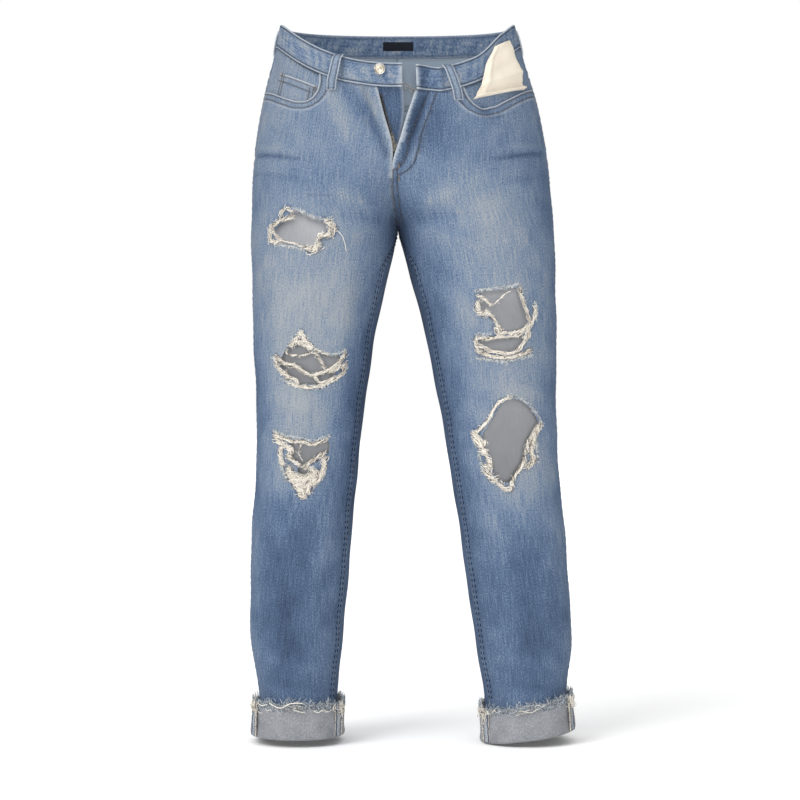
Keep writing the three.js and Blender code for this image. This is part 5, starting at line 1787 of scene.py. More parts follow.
def strip(
    piece: Piece,
    columns: int,
    rows: int,
    place: Callable[[Array, Array], Array],
    size_mm: tuple[float, float],
    outside: Callable[[Array, Array], Array] | None = None,
    closed: bool = False,
    grain_along: bool = False,
) -> bpy.types.Object:
    """Weaves a strip or a folded tube of cloth from a grid.

    Args:
        piece: What the strip is.
        columns: Steps across.
        rows: Steps along, or round a folded strip.
        place: Points in millimetres at (u, v).
        size_mm: Cloth's width and length, for its grain.
        outside: Outward directions at (u, v), for an open strip.
        closed: Whether the strip is folded round and closed.
        grain_along: Whether the warp runs the way of u.

    Returns:
        The finished strip.
    """
    places, faces = woven_grid(columns, rows, closed)
    u, v = places[:, 0], places[:, 1]
    mesh = mesh_of(piece.name, place(u, v), faces)
    if closed:
        shell = bmesh.new()
        shell.from_mesh(mesh)
        bmesh.ops.holes_fill(shell, edges=[e for e in shell.edges if e.is_boundary], sides=0)
        bmesh.ops.recalc_face_normals(shell, faces=shell.faces)
        shell.to_mesh(mesh)
        shell.free()
    elif outside is not None:
        outward(mesh, outside(u, v))
    uv = np.stack([u * size_mm[0], v * size_mm[1]], -1) * MM
    return piece.finish_mesh(mesh, uv[:, ::-1] if grain_along else uv)


def laid_strip(
    piece: Piece,
    side: LegSide,
    columns: int,
    rows: int,
    route: Callable[[Array, Array], tuple[Array, Array, Array]],
    size_mm: tuple[float, float],
) -> bpy.types.Object:
    """Weaves a strip that lies over the front of the form.

    Args:
        piece: What the strip is.
        side: Side of the garment that it lies on.
        columns: Steps across.
        rows: Steps along.
        route: The strip's x from the middle, height and distance out at (u, v).
        size_mm: Cloth's width and length, for its grain.

    Returns:
        The finished strip.
    """

    def place(u: Array, v: Array) -> Array:
        """Points in millimetres at (u, v)."""
        x, z, out = route(u, v)
        return side.skin(side.theta_at(x, z), z, out)

    def outside(u: Array, v: Array) -> Array:
        """Outward directions at (u, v)."""
        x, z, _ = route(u, v)
        return side.normal(side.theta_at(x, z), z)

    return strip(piece, columns, rows, place, size_mm, outside)


def band_profile(v: Array, half: float, pinch: Array) -> tuple[Array, Array]:
    """A folded band's section, all round.

    Args:
        v: Place round the section, from the outer foot over the top and down inside.
        half: Half of the band's thickness.
        pinch: How much the stitch rows draw it in.

    Returns:
        Distance out, and share of the height.
    """
    corners = np.array(
        [
            (0.55, 0.0), (0.95, 0.02), (0.95, 0.06), (0.62, 0.09), (0.95, 0.13), (1.0, 0.3), (1.0, 0.5),
            (1.0, 0.7),
            (0.95, 0.87), (0.62, 0.91), (0.95, 0.94), (0.9, 0.975), (0.5, 1.0), (-0.5, 1.0), (-0.9, 0.97),
            (-0.95, 0.8), (-1.0, 0.5), (-0.95, 0.2), (-0.9, 0.03), (-0.5, 0.0),
        ]
    )
    at = np.arange(len(corners) + 1) / len(corners)
    ring = np.vstack([corners, corners[:1]])
    out, height = (np.interp(v, at, ring[:, k]) for k in (0, 1))
    drawn = np.isclose(out, 0.62, atol=0.2) & (out > 0)
    return half * out - np.where(drawn, pinch, 0.0), height


@dataclass
class Waistband:
    """The folded band round the waist, its loops, label and button."""

    label_size: tuple[float, float] = (42.0, 12.0)
    loop_width: float = 12.0
    loop_wall: float = 1.7
    belt_room: float = 6.5

    def band_place(
        self, side: LegSide, start: float, end: float, lift: Callable[[Array, Array], Array]
    ) -> Callable:
        """Place function of a stretch of band between two angles."""

        def place(u: Array, v: Array) -> Array:
            """Points in millimetres at (u, v)."""
            theta = mix(start, end, u)
            pucker = 0.3 + 0.2 * np.sin(u * abs(end - start) * 62)
            out, height = band_profile(v, BAND_HALF, pucker)
            z = mix(side.band_seam(theta), side.band_top(theta), height)
            return side.skin(theta, z, out + lift(theta, z))

        return place

    def wear(self, columns: int, rows: int, side: LegSide, start: float, end: float) -> dict[str, Array]:
        """Tone and pale edges of a stretch of band, with painted highlight on its folded edges, painted shade
        on the left band's curled end and painted shadow beside the front loops.
        """
        places, _ = woven_grid(columns, rows, closed=True)
        theta = mix(start, end, places[:, 0])
        _, height = band_profile(places[:, 1], BAND_HALF, np.zeros(len(theta)))
        outer = (places[:, 1] < 0.62).astype(float)
        # pale top and foot edges: wear and painted highlight
        edge = bell(height - 1, 0.05) + 0.8 * bell(height, 0.06)
        stitch_lines_and_loop_shadow = bell(height - 0.91, 0.028) + bell(height - 0.09, 0.028)
        wander = np.sin(theta * 47 + 3 * np.sin(theta * 13) + 5 * height)
        ripple = 0.13 * wander * np.sin(math.pi * height) - 0.05
        x = side.sign * side.point(theta, np.full_like(theta, -50.0))[..., 0]
        # painted shade on the curled end of the left band
        curled = 0.24 * (1 - smooth((x - 34) / 22)) if side is LEFT else 0.0
        tone = mix(0.63, WASH.tone(side, theta, np.full_like(theta, -10.0)) + 0.04 - curled, outer) + ripple
        # painted shadow on the band beside the front belt loops
        beside_loop = np.abs(np.degrees(theta) - LOOP_AT[side.name]) * MM_PER_DEGREE - 7.2
        stitch_lines_and_loop_shadow = np.maximum(stitch_lines_and_loop_shadow, 0.6 * outer * bell(beside_loop, 1.5))
        return {"tone": tone, "worn": clamp01(edge * mix(0.4, 0.85, outer)), "bare": 0 * theta, "seam": stitch_lines_and_loop_shadow}

    def front(self, side: LegSide) -> bpy.types.Object:
        """Builds one front stretch of the band."""
        start = float(side.theta_at(BAND_ENDS[side.name], FLY_TOP_Z))
        columns, rows = 110, 40

        def lift(theta: Array, z: Array) -> Array:
            """How far the band stands off the form."""
            x = side.sign * side.point(theta, z)[..., 0]
            turned = side.fly_lift(x, np.full_like(z, FLY_TOP_Z))
            tip = 1 - smooth(np.abs(theta - start) / 0.09)
            return turned + (5.5 * tip * tip if side is LEFT else 0.6 * tip * tip)

        name = f"waistband_cloth_front_{side.name}"
        piece = Piece(name, Finish.DENIM, "denim", (f"waistband_front_{side.name}",))
        piece.attributes = self.wear(columns, rows, side, start, SIDE_SEAM)
        tip = np.abs(mix(start, SIDE_SEAM, woven_grid(columns, rows, True)[0][:, 0]) - start) * 100
        piece.attributes["worn"] = clamp01(piece.attributes["worn"] + 0.9 * bell(tip, 1.6))
        band = strip(
            piece, columns, rows, self.band_place(side, start, SIDE_SEAM, lift), (200, 66), closed=True,
            grain_along=True,
        )
        return band

    def back(self) -> bpy.types.Object:
        """Builds the back of the band, from side seam to side seam."""
        columns, rows = 210, 40

        def both(u: Array, v: Array) -> Array:
            """Points of the right half, then of the left."""
            turn = SIDE_SEAM + math.pi / 2
            right = self.band_place(RIGHT, SIDE_SEAM, SIDE_SEAM - 2 * turn, lambda t, z: 0 * z)(clamp01(u), v)
            left = self.band_place(LEFT, SIDE_SEAM - 2 * turn, SIDE_SEAM, lambda t, z: 0 * z)(clamp01(u), v)
            return np.where((u < 0.5)[:, None], right, left)

        piece = Piece("waistband_cloth_back", Finish.DENIM, "denim", ("waistband_back",))
        turn = SIDE_SEAM + math.pi / 2
        piece.attributes = self.wear(columns, rows, RIGHT, SIDE_SEAM, SIDE_SEAM - 2 * turn)
        inner = woven_grid(columns, rows, True)[0][:, 1] > 0.62
        piece.attributes["tone"] += np.where(inner, 0.0, -0.12)
        band = strip(piece, columns, rows, both, (440, 66), closed=True, grain_along=True)
        return band

    def loop(self, name: str, side: LegSide, top: float, foot: float, rows_of: Stitching) -> None:
        """Builds a belt loop that stands off the band.

        Args:
            name: CAD node of the loop.
            side: Side it is on.
            top: Angle of its upper end, in degrees.
            foot: Angle of its lower end, in degrees.
            rows_of: Thread for its two rows.
        """
        fall = np.array([-0.02, 0.02, 0.06, 0.14, 0.45, 0.8, 1.15, 1.30, 1.40, 1.50])
        stand = np.array([0.0, 0.12, 0.4, 0.85, 1.0, 1.0, 0.85, 0.38, 0.08, 0.0])
        sample = np.linspace(0, 1, 40)
        heights = np.interp(sample, np.linspace(0, 1, len(fall)), fall)
        room = np.interp(heights, fall, stand)
        for _ in range(4):
            room[1:-1] = (room[:-2] + 2 * room[1:-1] + room[2:]) / 4

        def frame_at(v: Array, across: Array, extra: Array) -> tuple[Array, Array, Array]:
            """Angle, height and distance out of the loop at a distance across it."""
            fell = np.interp(v, sample, heights)
            theta = mix(math.radians(top), math.radians(foot), clamp01(fell / 1.48))
            z = side.band_top(theta) - fell * BAND_HEIGHT - 0.4
            out = BAND_HALF + 2.1 + np.interp(v, sample, room) * (self.belt_room - 0.4) + extra
            return theta + across * side.angle_per_mm(theta, z), z, out

        def place(u: Array, v: Array) -> Array:
            """Points in millimetres at (u, v)."""
            across = (u - 0.5) * self.loop_width
            crown = 0.35 * np.cos((u - 0.5) * math.pi) - 0.25 * bell(np.abs(across) - 3.6, 0.9)
            theta, z, out = frame_at(v, across, crown)
            return side.skin(theta, z, out)

        def outside(u: Array, v: Array) -> Array:
            """Outward directions at (u, v)."""
            theta, z, _ = frame_at(v, (u - 0.5) * self.loop_width, np.zeros_like(u))
            return side.normal(theta, z)

        columns, rows = 12, 44
        piece = Piece(
            name.replace("belt_loop", "belt_loop_cloth"), Finish.DENIM, "denim", (name,), None, self.loop_wall
        )
        grid = woven_grid(columns, rows)[0]
        edge = np.abs(grid[:, 0] - 0.5) * 2
        ends = np.minimum(grid[:, 1], 1 - grid[:, 1])
        piece.attributes = {
            "tone": 0.58 - 0.12 * bell(edge - 0.6, 0.12),
            "worn": clamp01(0.75 * smooth((edge - 0.72) / 0.25) + 0.5 * bell(ends, 0.05) + 0.25),
            "bare": 0 * edge,
            "seam": 0.75 * bell(edge - 0.6, 0.16),
        }
        cloth = strip(piece, columns, rows, place, (12, 56), outside)
        v = np.linspace(0.05, 0.95, 80)
        for across in (-3.6, 3.6):
            theta, z, out = frame_at(v, np.full_like(v, across), np.zeros_like(v))
            rows_of.on_skin(side, theta, z, out)
        for v_at in (0.05, 0.93):
            theta, z, out = frame_at(np.array([v_at]), np.array([0.0]), np.array([0.35]))
            middle = side.skin(theta, z, out)[0]
            level = side.skin(theta + 0.02, z, out)[0] - side.skin(theta - 0.02, z, out)[0]
            down = side.skin(theta, z - 2, out)[0] - side.skin(theta, z + 2, out)[0]
            rows_of.bar(middle, down, level, self.loop_width - 2.5, 2.2)

    def label(self) -> bpy.types.Object:
        """Builds the bare woven label inside the back of the band."""
        width, height = self.label_size

        def place(u: Array, v: Array) -> Array:
            """Points in millimetres at (u, v)."""
            x = (u - 0.5) * width
            out = np.full_like(u, -BAND_HALF - 0.5) - 0.35 * np.sin(math.pi * u) * np.sin(math.pi * v)
            points = np.empty((len(u), 3))
            for side in SIDES:
                here = x >= 0 if side is LEFT else x < 0
                theta = side.theta_at(np.abs(x), np.full_like(x, 30.0), front=False)
                z = side.band_top(theta) - 8 - v * height
                points[here] = side.skin(theta, z, out)[here]
            return points

        piece = Piece("waist_label_cloth", Finish.LABEL, "woven_label", ("waist_label",), None, 0.7)
        label = strip(
            piece, 30, 10, place, (width, height), lambda u, v: np.tile([0.0, -1.0, 0.0], (len(u), 1))
        )
        return label

    def button(self) -> None:
        """Builds the tack button: a domed brass centre in a nickel rim, on its shank."""
        low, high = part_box("waist_button")
        x, z = BUTTON_AT
        theta = RIGHT.theta_at(x, z)
        normal = RIGHT.normal(theta, np.array(z)).reshape(3)
        foot = RIGHT.skin(theta, np.array(z), BAND_HALF + 0.4).reshape(3) * MM
        rim = [
            (0.0, 0.0), (3.0, 0.0), (3.0, 1.9), (6.2, 2.1), (7.4, 2.7), (7.7, 3.4), (7.4, 4.1), (6.7, 4.5),
            (6.1, 4.3),
        ]
        rim += [(5.8, 3.9), (5.4, 3.8)]
        dome = [(5.45, 3.7), (5.3, 4.1), (4.4, 4.25), (3.6, 4.1), (3.0, 4.3), (1.6, 4.75), (0.0, 4.9)]
        for name, profile, finish in (
            ("waist_button_rim", rim, Finish.BUTTON_RIM),
            ("waist_button_dome", dome, Finish.BUTTON_BRASS),
        ):
            turned = bmesh.new()
            dots = [turned.verts.new((r * MM, 0, h * MM)) for r, h in profile]
            lines = [turned.edges.new(pair) for pair in zip(dots, dots[1:])]
            bmesh.ops.spin(
                turned,
                geom=dots + lines,
                cent=(0, 0, 0),
                axis=(0, 0, 1),
                angle=2 * math.pi,
                steps=40,
                use_merge=True,
            )
            bmesh.ops.remove_doubles(turned, verts=turned.verts, dist=1e-6)
            if name.endswith("rim"):
                bmesh.ops.recalc_face_normals(turned, faces=turned.faces)
            turn = Vector((0, 0, 1)).rotation_difference(Vector(normal)).to_matrix()
            bmesh.ops.rotate(turned, cent=(0, 0, 0), matrix=turn, verts=turned.verts)
            bmesh.ops.translate(turned, vec=Vector(foot), verts=turned.verts)
            mesh = mesh_from(name, turned)
            facing = np.array([p.normal.dot(Vector(normal)) * p.area for p in mesh.polygons]).sum()
            if name.endswith("dome") and facing < 0:
                mesh.flip_normals()
            piece = Piece(name, finish, "button_metal", ("waist_button",))
            piece.finish_mesh(mesh)
        LOG.info("button stands at %s to %s", tuple(low), tuple(high))

    def build(self) -> None:
        """Builds the band and everything on it."""
        for side in SIDES:
            self.front(side)
        self.back()
        thread = Stitching("belt_loop_stitching", Finish.BLUE_THREAD, 2.2, 2.7, 0.32)
        for name, side, top, foot in (
            ("front_right", RIGHT, 65.5, 64),
            ("front_left", LEFT, 71, 67.5),
            ("side_right", RIGHT, -14, -14),
            ("side_left", LEFT, -14, -14),
            ("back", RIGHT, -90, -90),
        ):
            self.loop(f"belt_loop_{name}", side, top, foot, thread)
        thread.build("denim")
        self.label()
        self.button()


@dataclass
class Pockets:
    """Coin pocket, pulled-out pocket bag and back pockets."""

    thread: Stitching
    coin: Outline = ((-156, -28), (-105, -52), (-110, -80), (-165, -62))
    back_pocket: Outline = ((38, -80), (152, -88), (146, -196), (94, -214), (42, -194))
    bag_foot: tuple[tuple[float, float], ...] = ((98, -70), (166, -50))
    bag_top: tuple[tuple[float, float], ...] = ((121, 0), (142, 12))

    def coin_pocket(self) -> bpy.types.Object:
        """Cuts the small pocket lying on the right facing."""
        side = RIGHT
        cloth = LegCloth(side, self.thread, self.thread)
        outline = cloth.to_flat(resample(self.coin, 2.0, closed=True))
        outline[:, 0] = np.maximum(outline[:, 0], SIDE_SEAM * PATTERN_RADIUS + 1)
        hem = cloth.to_flat(resample(((-154, -30), (-106, -52.5)), 2.0))
        inner = cloth.to_flat(resample(((-107, -54), (-111, -76)), 2.0))
        rows = [beside(hem, -1.6), beside(hem, -8.4), beside(inner, -1.6), beside(inner, -5.4)]
        outer = cloth.to_flat(resample(((-152, -31), (-159, -58)), 2.0))
        rows += [beside(outer, 0.6), beside(outer, 4.4)]

        def worn(theta: Array, z: Array) -> Array:
            """How pale the rubbed edges are at angles and heights."""
            gap = distance_to(flat_line(theta, z), hem, False)
            return clamp01(0.9 * bell(gap, 1.5))

        piece = cloth.shape(
            "coin_pocket_cloth",
            ("coin_pocket",),
            Pattern(outline, (), tuple(rows), 1.8),
            lambda theta, z: np.full(np.shape(z), FACING_OUT + 2.0),
            worn,
            shift=0.06,
        )
        return piece

    def bag_place(self, u: Array, v: Array) -> tuple[Array, Array, Array]:
        """The pocket bag's x, z and distance out at (u, v)."""
        (ax, az), (bx, bz) = self.bag_foot
        (cx, cz), (dx, dz) = self.bag_top
        x = mix(mix(ax, bx, u), mix(cx, dx, u), v)
        z = mix(mix(az, bz, u), mix(cz, dz, u), v)
        out = mix(FACING_OUT + 2.4, 5.0, smooth(v * 2.6)) + 3 * np.sin(math.pi * u) * v
        return x, z, out

    def bag(self) -> bpy.types.Object:
        """Drapes the cotton bag that is pulled up out of the left pocket."""

        def route(u: Array, v: Array) -> tuple[Array, Array, Array]:
            """The strip's x from the middle, height and distance out at (u, v)."""
            x, z, out = self.bag_place(u, v)
            fold = 1.6 * bell(u - 0.16, 0.07) * (1 - 0.5 * v)
            fold += 1.2 * bell(v - 0.24 - 0.10 * u, 0.05) - 1.1 * bell(v - 0.13, 0.05)
            fold += 2.6 * bell(v - 0.045, 0.03)
            swell = 0.8 * np.sin(u * 5.2 + v * 2.6 + 0.6) * np.sin(math.pi * v)
            fold += swell + 0.35 * np.sin(v * 17 - u * 6)
            x = x + 1.6 * np.sin(v * 7.5) * (1 - u) + 1.2 * np.sin(v * 6.0 + 1.0) * u
            z = z + 1.1 * np.sin(u * 6.0) * np.sin(math.pi * v)
            return x, z, out + 1.7 * fold * smooth(v * 30)

        piece = Piece("pocket_bag_cloth", Finish.POCKETING, "pocketing", ("pocket_bag_left",), None, 0.6)
        bag = laid_strip(piece, LEFT, 44, 60, route, (60, 75))
        return bag

    def back_patch(self, side: LegSide) -> bpy.types.Object:
        """Cuts a patch pocket lying on the back panel."""
        corners = np.array(self.back_pocket, float)
        loops = [
            resample(mix(corners, corners.mean(0), inset), 2.5, closed=True) for inset in (0.0, 0.035, 0.14)
        ]
        loops = [flat_line(side.theta_at(loop[:, 0], loop[:, 1], front=False), loop[:, 1]) for loop in loops]
        outline, rows = loops[0], [np.vstack([loop, loop[:1]]) for loop in loops[1:]]
        cloth = LegCloth(side, self.thread, self.thread)

        def layer(theta: Array, z: Array) -> Array:
            """Distance out from the form at angles and heights."""
            gap = distance_to(flat_line(theta, z), outline)
            pucker = 0.12 * np.sin(z / 1.4) * (gap < 9)
            return 1.75 + 0.35 * (1 - smooth(gap / 9)) + 0.5 * smooth(gap / 30) + pucker

        def worn(theta: Array, z: Array) -> Array:
            """How pale the rubbed edges are at angles and heights."""
            gap = distance_to(flat_line(theta, z), outline)
            return clamp01(0.8 * bell(gap, 1.8) + 0.3 * bell(gap - 5, 1.5))

        name = f"back_pocket_cloth_{side.name}"
        pattern = Pattern(outline, (), tuple(rows), 2.6)
        piece = cloth.shape(name, (f"back_pocket_{side.name}",), pattern, layer, worn, shift=0.05)
        return piece

    def build(self) -> None:
        """Builds every pocket piece."""
        self.coin_pocket()
        self.bag()
        for side in SIDES:
            self.back_patch(side)


def fly_depth(z: Array, shallow: float, deep: float) -> Array:
    """Depth of the fly's layers behind the form: shallow at the waist, deep at the slider."""
    return mix(shallow, deep, smooth((FLY_TOP_Z - z) / 75))


@dataclass
class Fly:
    """Underlap, zip tapes, teeth, slider and pull tab."""

    tape_top: float = -64.0
    tape_foot: float = -146.0
    shield_foot: float = -166.0
    tape_width: float = 11.0
    tooth_pitch: float = 2.0

    def shield(self) -> bpy.types.Object:
        """Lays the denim underlap behind the right fly edge."""

        def route(u: Array, v: Array) -> tuple[Array, Array, Array]:
            """The strip's x from the middle, height and distance out at (u, v)."""
            z = mix(FLY_TOP_Z - 1, self.shield_foot, v)
            loose = mix(-5.0, 2.0, v**1.4) - 7 * np.sin(math.pi * v**0.8)
            wave = 0.7 * np.sin(v * 9 + u * 2) * smooth(u * 1.5)
            return mix(mix(42.0, 22.0, v), loose, u), z, fly_depth(z, -6.8, -10) + wave

        columns, rows = 22, 50
        grid = woven_grid(columns, rows)[0]
        piece = Piece("fly_shield_cloth", Finish.DENIM, "denim", ("fly_shield",), Finish.REVERSE, CLOTH)
        edge = bell(grid[:, 0] - 1, 0.06)
        piece.attributes = {"tone": np.full(len(grid), 0.36), "worn": 0.5 * edge, "bare": 0 * edge}
        cloth = laid_strip(piece, RIGHT, columns, rows, route, (40, 105))
        return cloth

    def run(self, side: LegSide, z: Array, across: Array) -> tuple[Array, Array]:
        """A tape's x from the seam and distance out, at heights z and distances across it."""
        edge = along(side.fly_edge, z)
        if side is RIGHT:
            return edge + across - 2.6, fly_depth(z, -3.4, -4.6)
        x = edge + mix(8.0, 1.0, clamp01((self.tape_top - z) / 60)) + across
        return x, mix(side.fly_lift(x, z) - 3.2, -5.4, smooth((FLY_TOP_Z - z) / 70))

    def tape(self, side: LegSide) -> bpy.types.Object:
        """Lays half of the zip's tape."""

        def route(u: Array, v: Array) -> tuple[Array, Array, Array]:
            """The strip's x from the middle, height and distance out at (u, v)."""
            z = mix(self.tape_top, self.tape_foot, v)
            x, out = self.run(side, z, self.tape_width * u)
            return x, z, out

        piece = Piece(
            f"zip_tape_cloth_{side.name}", Finish.TAPE, "zip_tape", (f"zip_tape_{side.name}",), None, 0.6
        )
        cloth = laid_strip(piece, side, 6, 40, route, (11, 84))
        return cloth

    def teeth(self) -> bpy.types.Object:
        """Sets the zip's teeth along both tapes' free edges."""
        count = int((self.tape_top - self.tape_foot) / self.tooth_pitch)
        z = self.tape_top - 2 - np.arange(count) * self.tooth_pitch
        box = bmesh.new()
        bmesh.ops.create_cube(box, size=1.0)
        bmesh.ops.bevel(
            box, geom=box.edges[:], offset=0.18, segments=1, affect="EDGES", profile=0.5, material=-1
        )
        shape, faces = shape_of(box)
        shape = shape * np.array([2.4, 1.7, 1.15])
        points, all_faces = [], []
        for side in SIDES:
            heights = z - (self.tooth_pitch / 2 if side is LEFT else 0)
            heights = heights[heights > self.tape_foot + 2]
            x, out = self.run(side, heights, np.zeros_like(heights))
            theta = side.theta_at(x, heights)
            middle = side.skin(theta, heights, out - 0.3)
            turn = np.array([0.0, 1.0, 0.0])
            tangent = unit(np.gradient(middle, axis=0))
            across = unit(np.cross(tangent, turn))
            out_way = np.cross(across, tangent)
            for i in range(len(heights)):
                base = sum(len(p) for p in points)
                points.append(middle[i] + shape @ np.stack([across[i], out_way[i], tangent[i]]))
                all_faces += [tuple(k + base for k in face) for face in faces]
        mesh = mesh_of("zip_teeth", np.vstack(points), all_faces)
        piece = Piece("zip_teeth", Finish.TEETH_METAL, "zip_metal")
        teeth = piece.finish_mesh(mesh)
        mesh.polygons.foreach_set("use_smooth", np.zeros(len(mesh.polygons), bool))
        return teeth

    def metal(self) -> None:
        """Gives the slider and its pull tab their plating."""
        for name in ("zip_slider", "zip_pull_tab"):
            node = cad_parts[name]
            for slot in node.material_slots:
                slot.material = Finish.ZIP_METAL.material()
            LOG.info("%s plated", name)

    def build(self) -> None:
        """Builds the fly's pieces."""
        self.shield()
        for side in SIDES:
            self.tape(side)
        self.teeth()
        self.metal()


@dataclass
class Cuffs:
    """Turned-up hems, showing the cloth's reverse, with their raw edge frayed."""

    wall: float = 2.2
    fray_zone: float = 9.0
    allowances: tuple[tuple[str, float, float, float], ...] = (  # name, angle, width, how beige
        ("outseam", SIDE_SEAM + 0.35, 18.0, 0.4),
        ("inseam", math.pi - 0.55, 15.0, 0.45),
    )

    def point(self, side: LegSide, theta: Array, height: Array, out: Array) -> Array:
        """Points on the cuff at angles, heights above the fold and distances out."""
        v = height / CUFF_HEIGHT
        flat = np.zeros(np.shape(theta), bool)
        _, centre_x, _, _, _ = side.ring(side.hem_height + np.clip(v, 0, 1.1) * CUFF_HEIGHT, flat)
        _, _, centre_y, reach, deep = side.ring(np.full(np.shape(theta), side.hem_height), flat)
        depth = deep + side.cuff_half - reach
        wobble = 0.7 * np.sin(3 * theta + 0.7 * side.sign) + 0.4 * np.sin(7 * theta + v * 3)
        out = out + wobble * clamp01(v)
        x = centre_x + (side.cuff_half + out) * spread(np.cos(theta), 2 / ROUNDNESS)
        y = centre_y - (depth + out) * spread(np.sin(theta), 2 / ROUNDNESS)
        edge = 1.1 * np.sin(2 * theta + side.sign) + 0.8 * np.sin(9 * theta) + 0.5 * np.sin(23 * theta)
        z = side.hem(theta) + height + edge * smooth((v - 0.55) / 0.45)
        return np.stack([side.sign * x, y, z], -1)

    def body(self, side: LegSide) -> bpy.types.Object:
        """Rolls the cuff: a soft fold at the foot, a wall outside the leg and a raw upper edge."""
        columns, rows = 150, 34
        section = np.array(
            [
                (-6.2, 1.4), (-4.2, 0.1), (-1.6, -0.4), (0.2, 0.5), (0.9, 2.4), (1.0, 5.0), (0.5, 9.0),
                (0.1, 16.0),
                (0.0, 24.0), (-0.3, 32.0), (-0.8, 38.0), (-1.3, 43.0), (-1.7, 46.0), (-2.5, 46.4),
                (-3.2, 45.0),
                (-2.9, 36.0), (-2.5, 24.0), (-2.3, 12.0), (-2.4, 5.0), (-3.4, 3.0), (-6.2, 2.8),
            ]
        )
        at = np.arange(len(section) + 1) / len(section)
        ring = np.vstack([section, section[:1]])

        def height_of(v: Array) -> tuple[Array, Array]:
            """Distance out and height round the cuff's section."""
            return np.interp(v, at, ring[:, 0]), np.interp(v, at, ring[:, 1])

        places, faces = woven_grid(columns, rows, closed=True)
        u, v = places[:, 0], places[:, 1]
        out, height = height_of(v)
        theta = u * 2 * math.pi
        slack = 0.5 * np.sin(5 * theta + height / 9) * smooth(height / 10) * (1 - smooth((height - 36) / 8))
        mesh = mesh_of(f"cuff_cloth_{side.name}", self.point(side, theta, height, out + slack), faces)
        shell = bmesh.new()
        shell.from_mesh(mesh)
        bmesh.ops.remove_doubles(shell, verts=shell.verts, dist=1e-6)
        bmesh.ops.recalc_face_normals(shell, faces=shell.faces)
        shell.verts.index_update()
        name = f"cuff_cloth_{side.name}"
        uv = np.stack([theta * 62, height], -1) * MM
        piece = Piece(name, Finish.REVERSE, "denim_reverse", (f"cuff_{side.name}",))
        keep = u < 1 - 0.25 / columns
        shell.to_mesh(mesh)
        shell.free()
        uv = uv[keep] if keep.sum() == len(mesh.vertices) else None
        cuff = piece.finish_mesh(mesh, uv)
        return cuff

    def seam(self, side: LegSide, name: str, theta: float, width: float, beige: float) -> bpy.types.Object:
        """Lays the open seam allowance that shows on the cuff's outside."""

        def place(u: Array, v: Array) -> Array:
            """Points in millimetres at (u, v)."""
            angle = theta + (u - 0.5) * width / side.cuff_half
            height = mix(2.0, CUFF_HEIGHT - 1.0, v)
            ridge = 0.7 * np.sin(math.pi * u) - 0.8 * bell(u - 0.3, 0.08) + 1.6 * smooth((u - 0.7) / 0.3)
            lean = mix(0.0, -1.5, smooth((v - 0.5) * 2))
            return self.point(side, angle, height, 1.9 + ridge + lean + 0.25 * np.sin(v * 26))

        def outside(u: Array, v: Array) -> Array:
            """Outward directions at (u, v)."""
            angle = np.full_like(u, theta)
            here = self.point(side, angle, np.full_like(u, 20.0), np.full_like(u, 4.0))
            return here - self.point(side, angle, np.full_like(u, 20.0), np.zeros_like(u))

        piece = Piece(
            name.replace("cuff_", "cuff_seam_cloth_"), Finish.DENIM, "denim_reverse", (name,), None, 1.3
        )
        u, v = woven_grid(24, 30)[0].T
        u = u + 0.03 * np.sin(v * 19) + 0.02 * np.sin(v * 47)
        lines = 1.2 * bell(u - 0.16, 0.09) + 1.1 * bell(u - 0.76, 0.06)
        frayed = smooth((u - 0.8) / 0.1) + 0.6 * (1 - smooth(u / 0.08))
        bare = clamp01(frayed + beige) * (1 - 0.9 * clamp01(lines))
        piece.attributes = {"tone": 0.85 + 0 * u, "worn": 0.2 + 0 * u, "seam": lines, "bare": bare}
        cloth = strip(piece, 24, 30, place, (width, 44), outside)
        return cloth

    def overlock(self, side: LegSide, theta: float, width: float, thread: Stitching) -> None:
        """Adds overlock threads along the middle of a seam allowance."""
        for h in np.arange(3.0, CUFF_HEIGHT - 2, 1.5):
            wander = 1.3 * math.sin(h / 3.1) + 0.6 * math.sin(h)
            angle = np.array([theta + (0.44 * width + wander) / side.cuff_half])
            height = np.array([h])
            middle = self.point(side, angle, height, np.array([3.0 if h < 30 else 2.0]))[0]
            ends = [self.point(side, angle + turn, height, np.array([3.0]))[0] for turn in (0.02, -0.02)]
            level = ends[0] - ends[1]
            thread.places.append(middle[None])
            thread.ways.append((level + np.array([0, 0, 0.6]))[None])
            thread.normals.append(np.cross(level, [0, 0, 1.0])[None])

    def tuft(self, side: LegSide, theta: float, draw: np.random.Generator, steps: int = 14) -> Array:
        """Paths of the curled threads that hang from a cut seam end."""
        count = 34
        t = np.linspace(0, 1, steps)[None]
        heading = draw.normal(-1.6, 0.9, (count, 1)) + draw.normal(0, 2.4, (count, 1)) * t
        reach = draw.uniform(5, 19, (count, 1))
        across = draw.normal(0, 4.0, (count, 1)) + np.cumsum(np.cos(heading), 1) * reach / steps
        height = CUFF_HEIGHT + draw.uniform(-7, 3, (count, 1)) + np.cumsum(np.sin(heading), 1) * reach / steps
        stand_off = draw.uniform(0.3, 2.4, (count, 1)) * np.sin(math.pi * t * 0.7)
        out = 2.6 - 1.4 * clamp01((height - 24) / 22) + stand_off
        return self.point(side, theta + across / side.cuff_half, height, out)

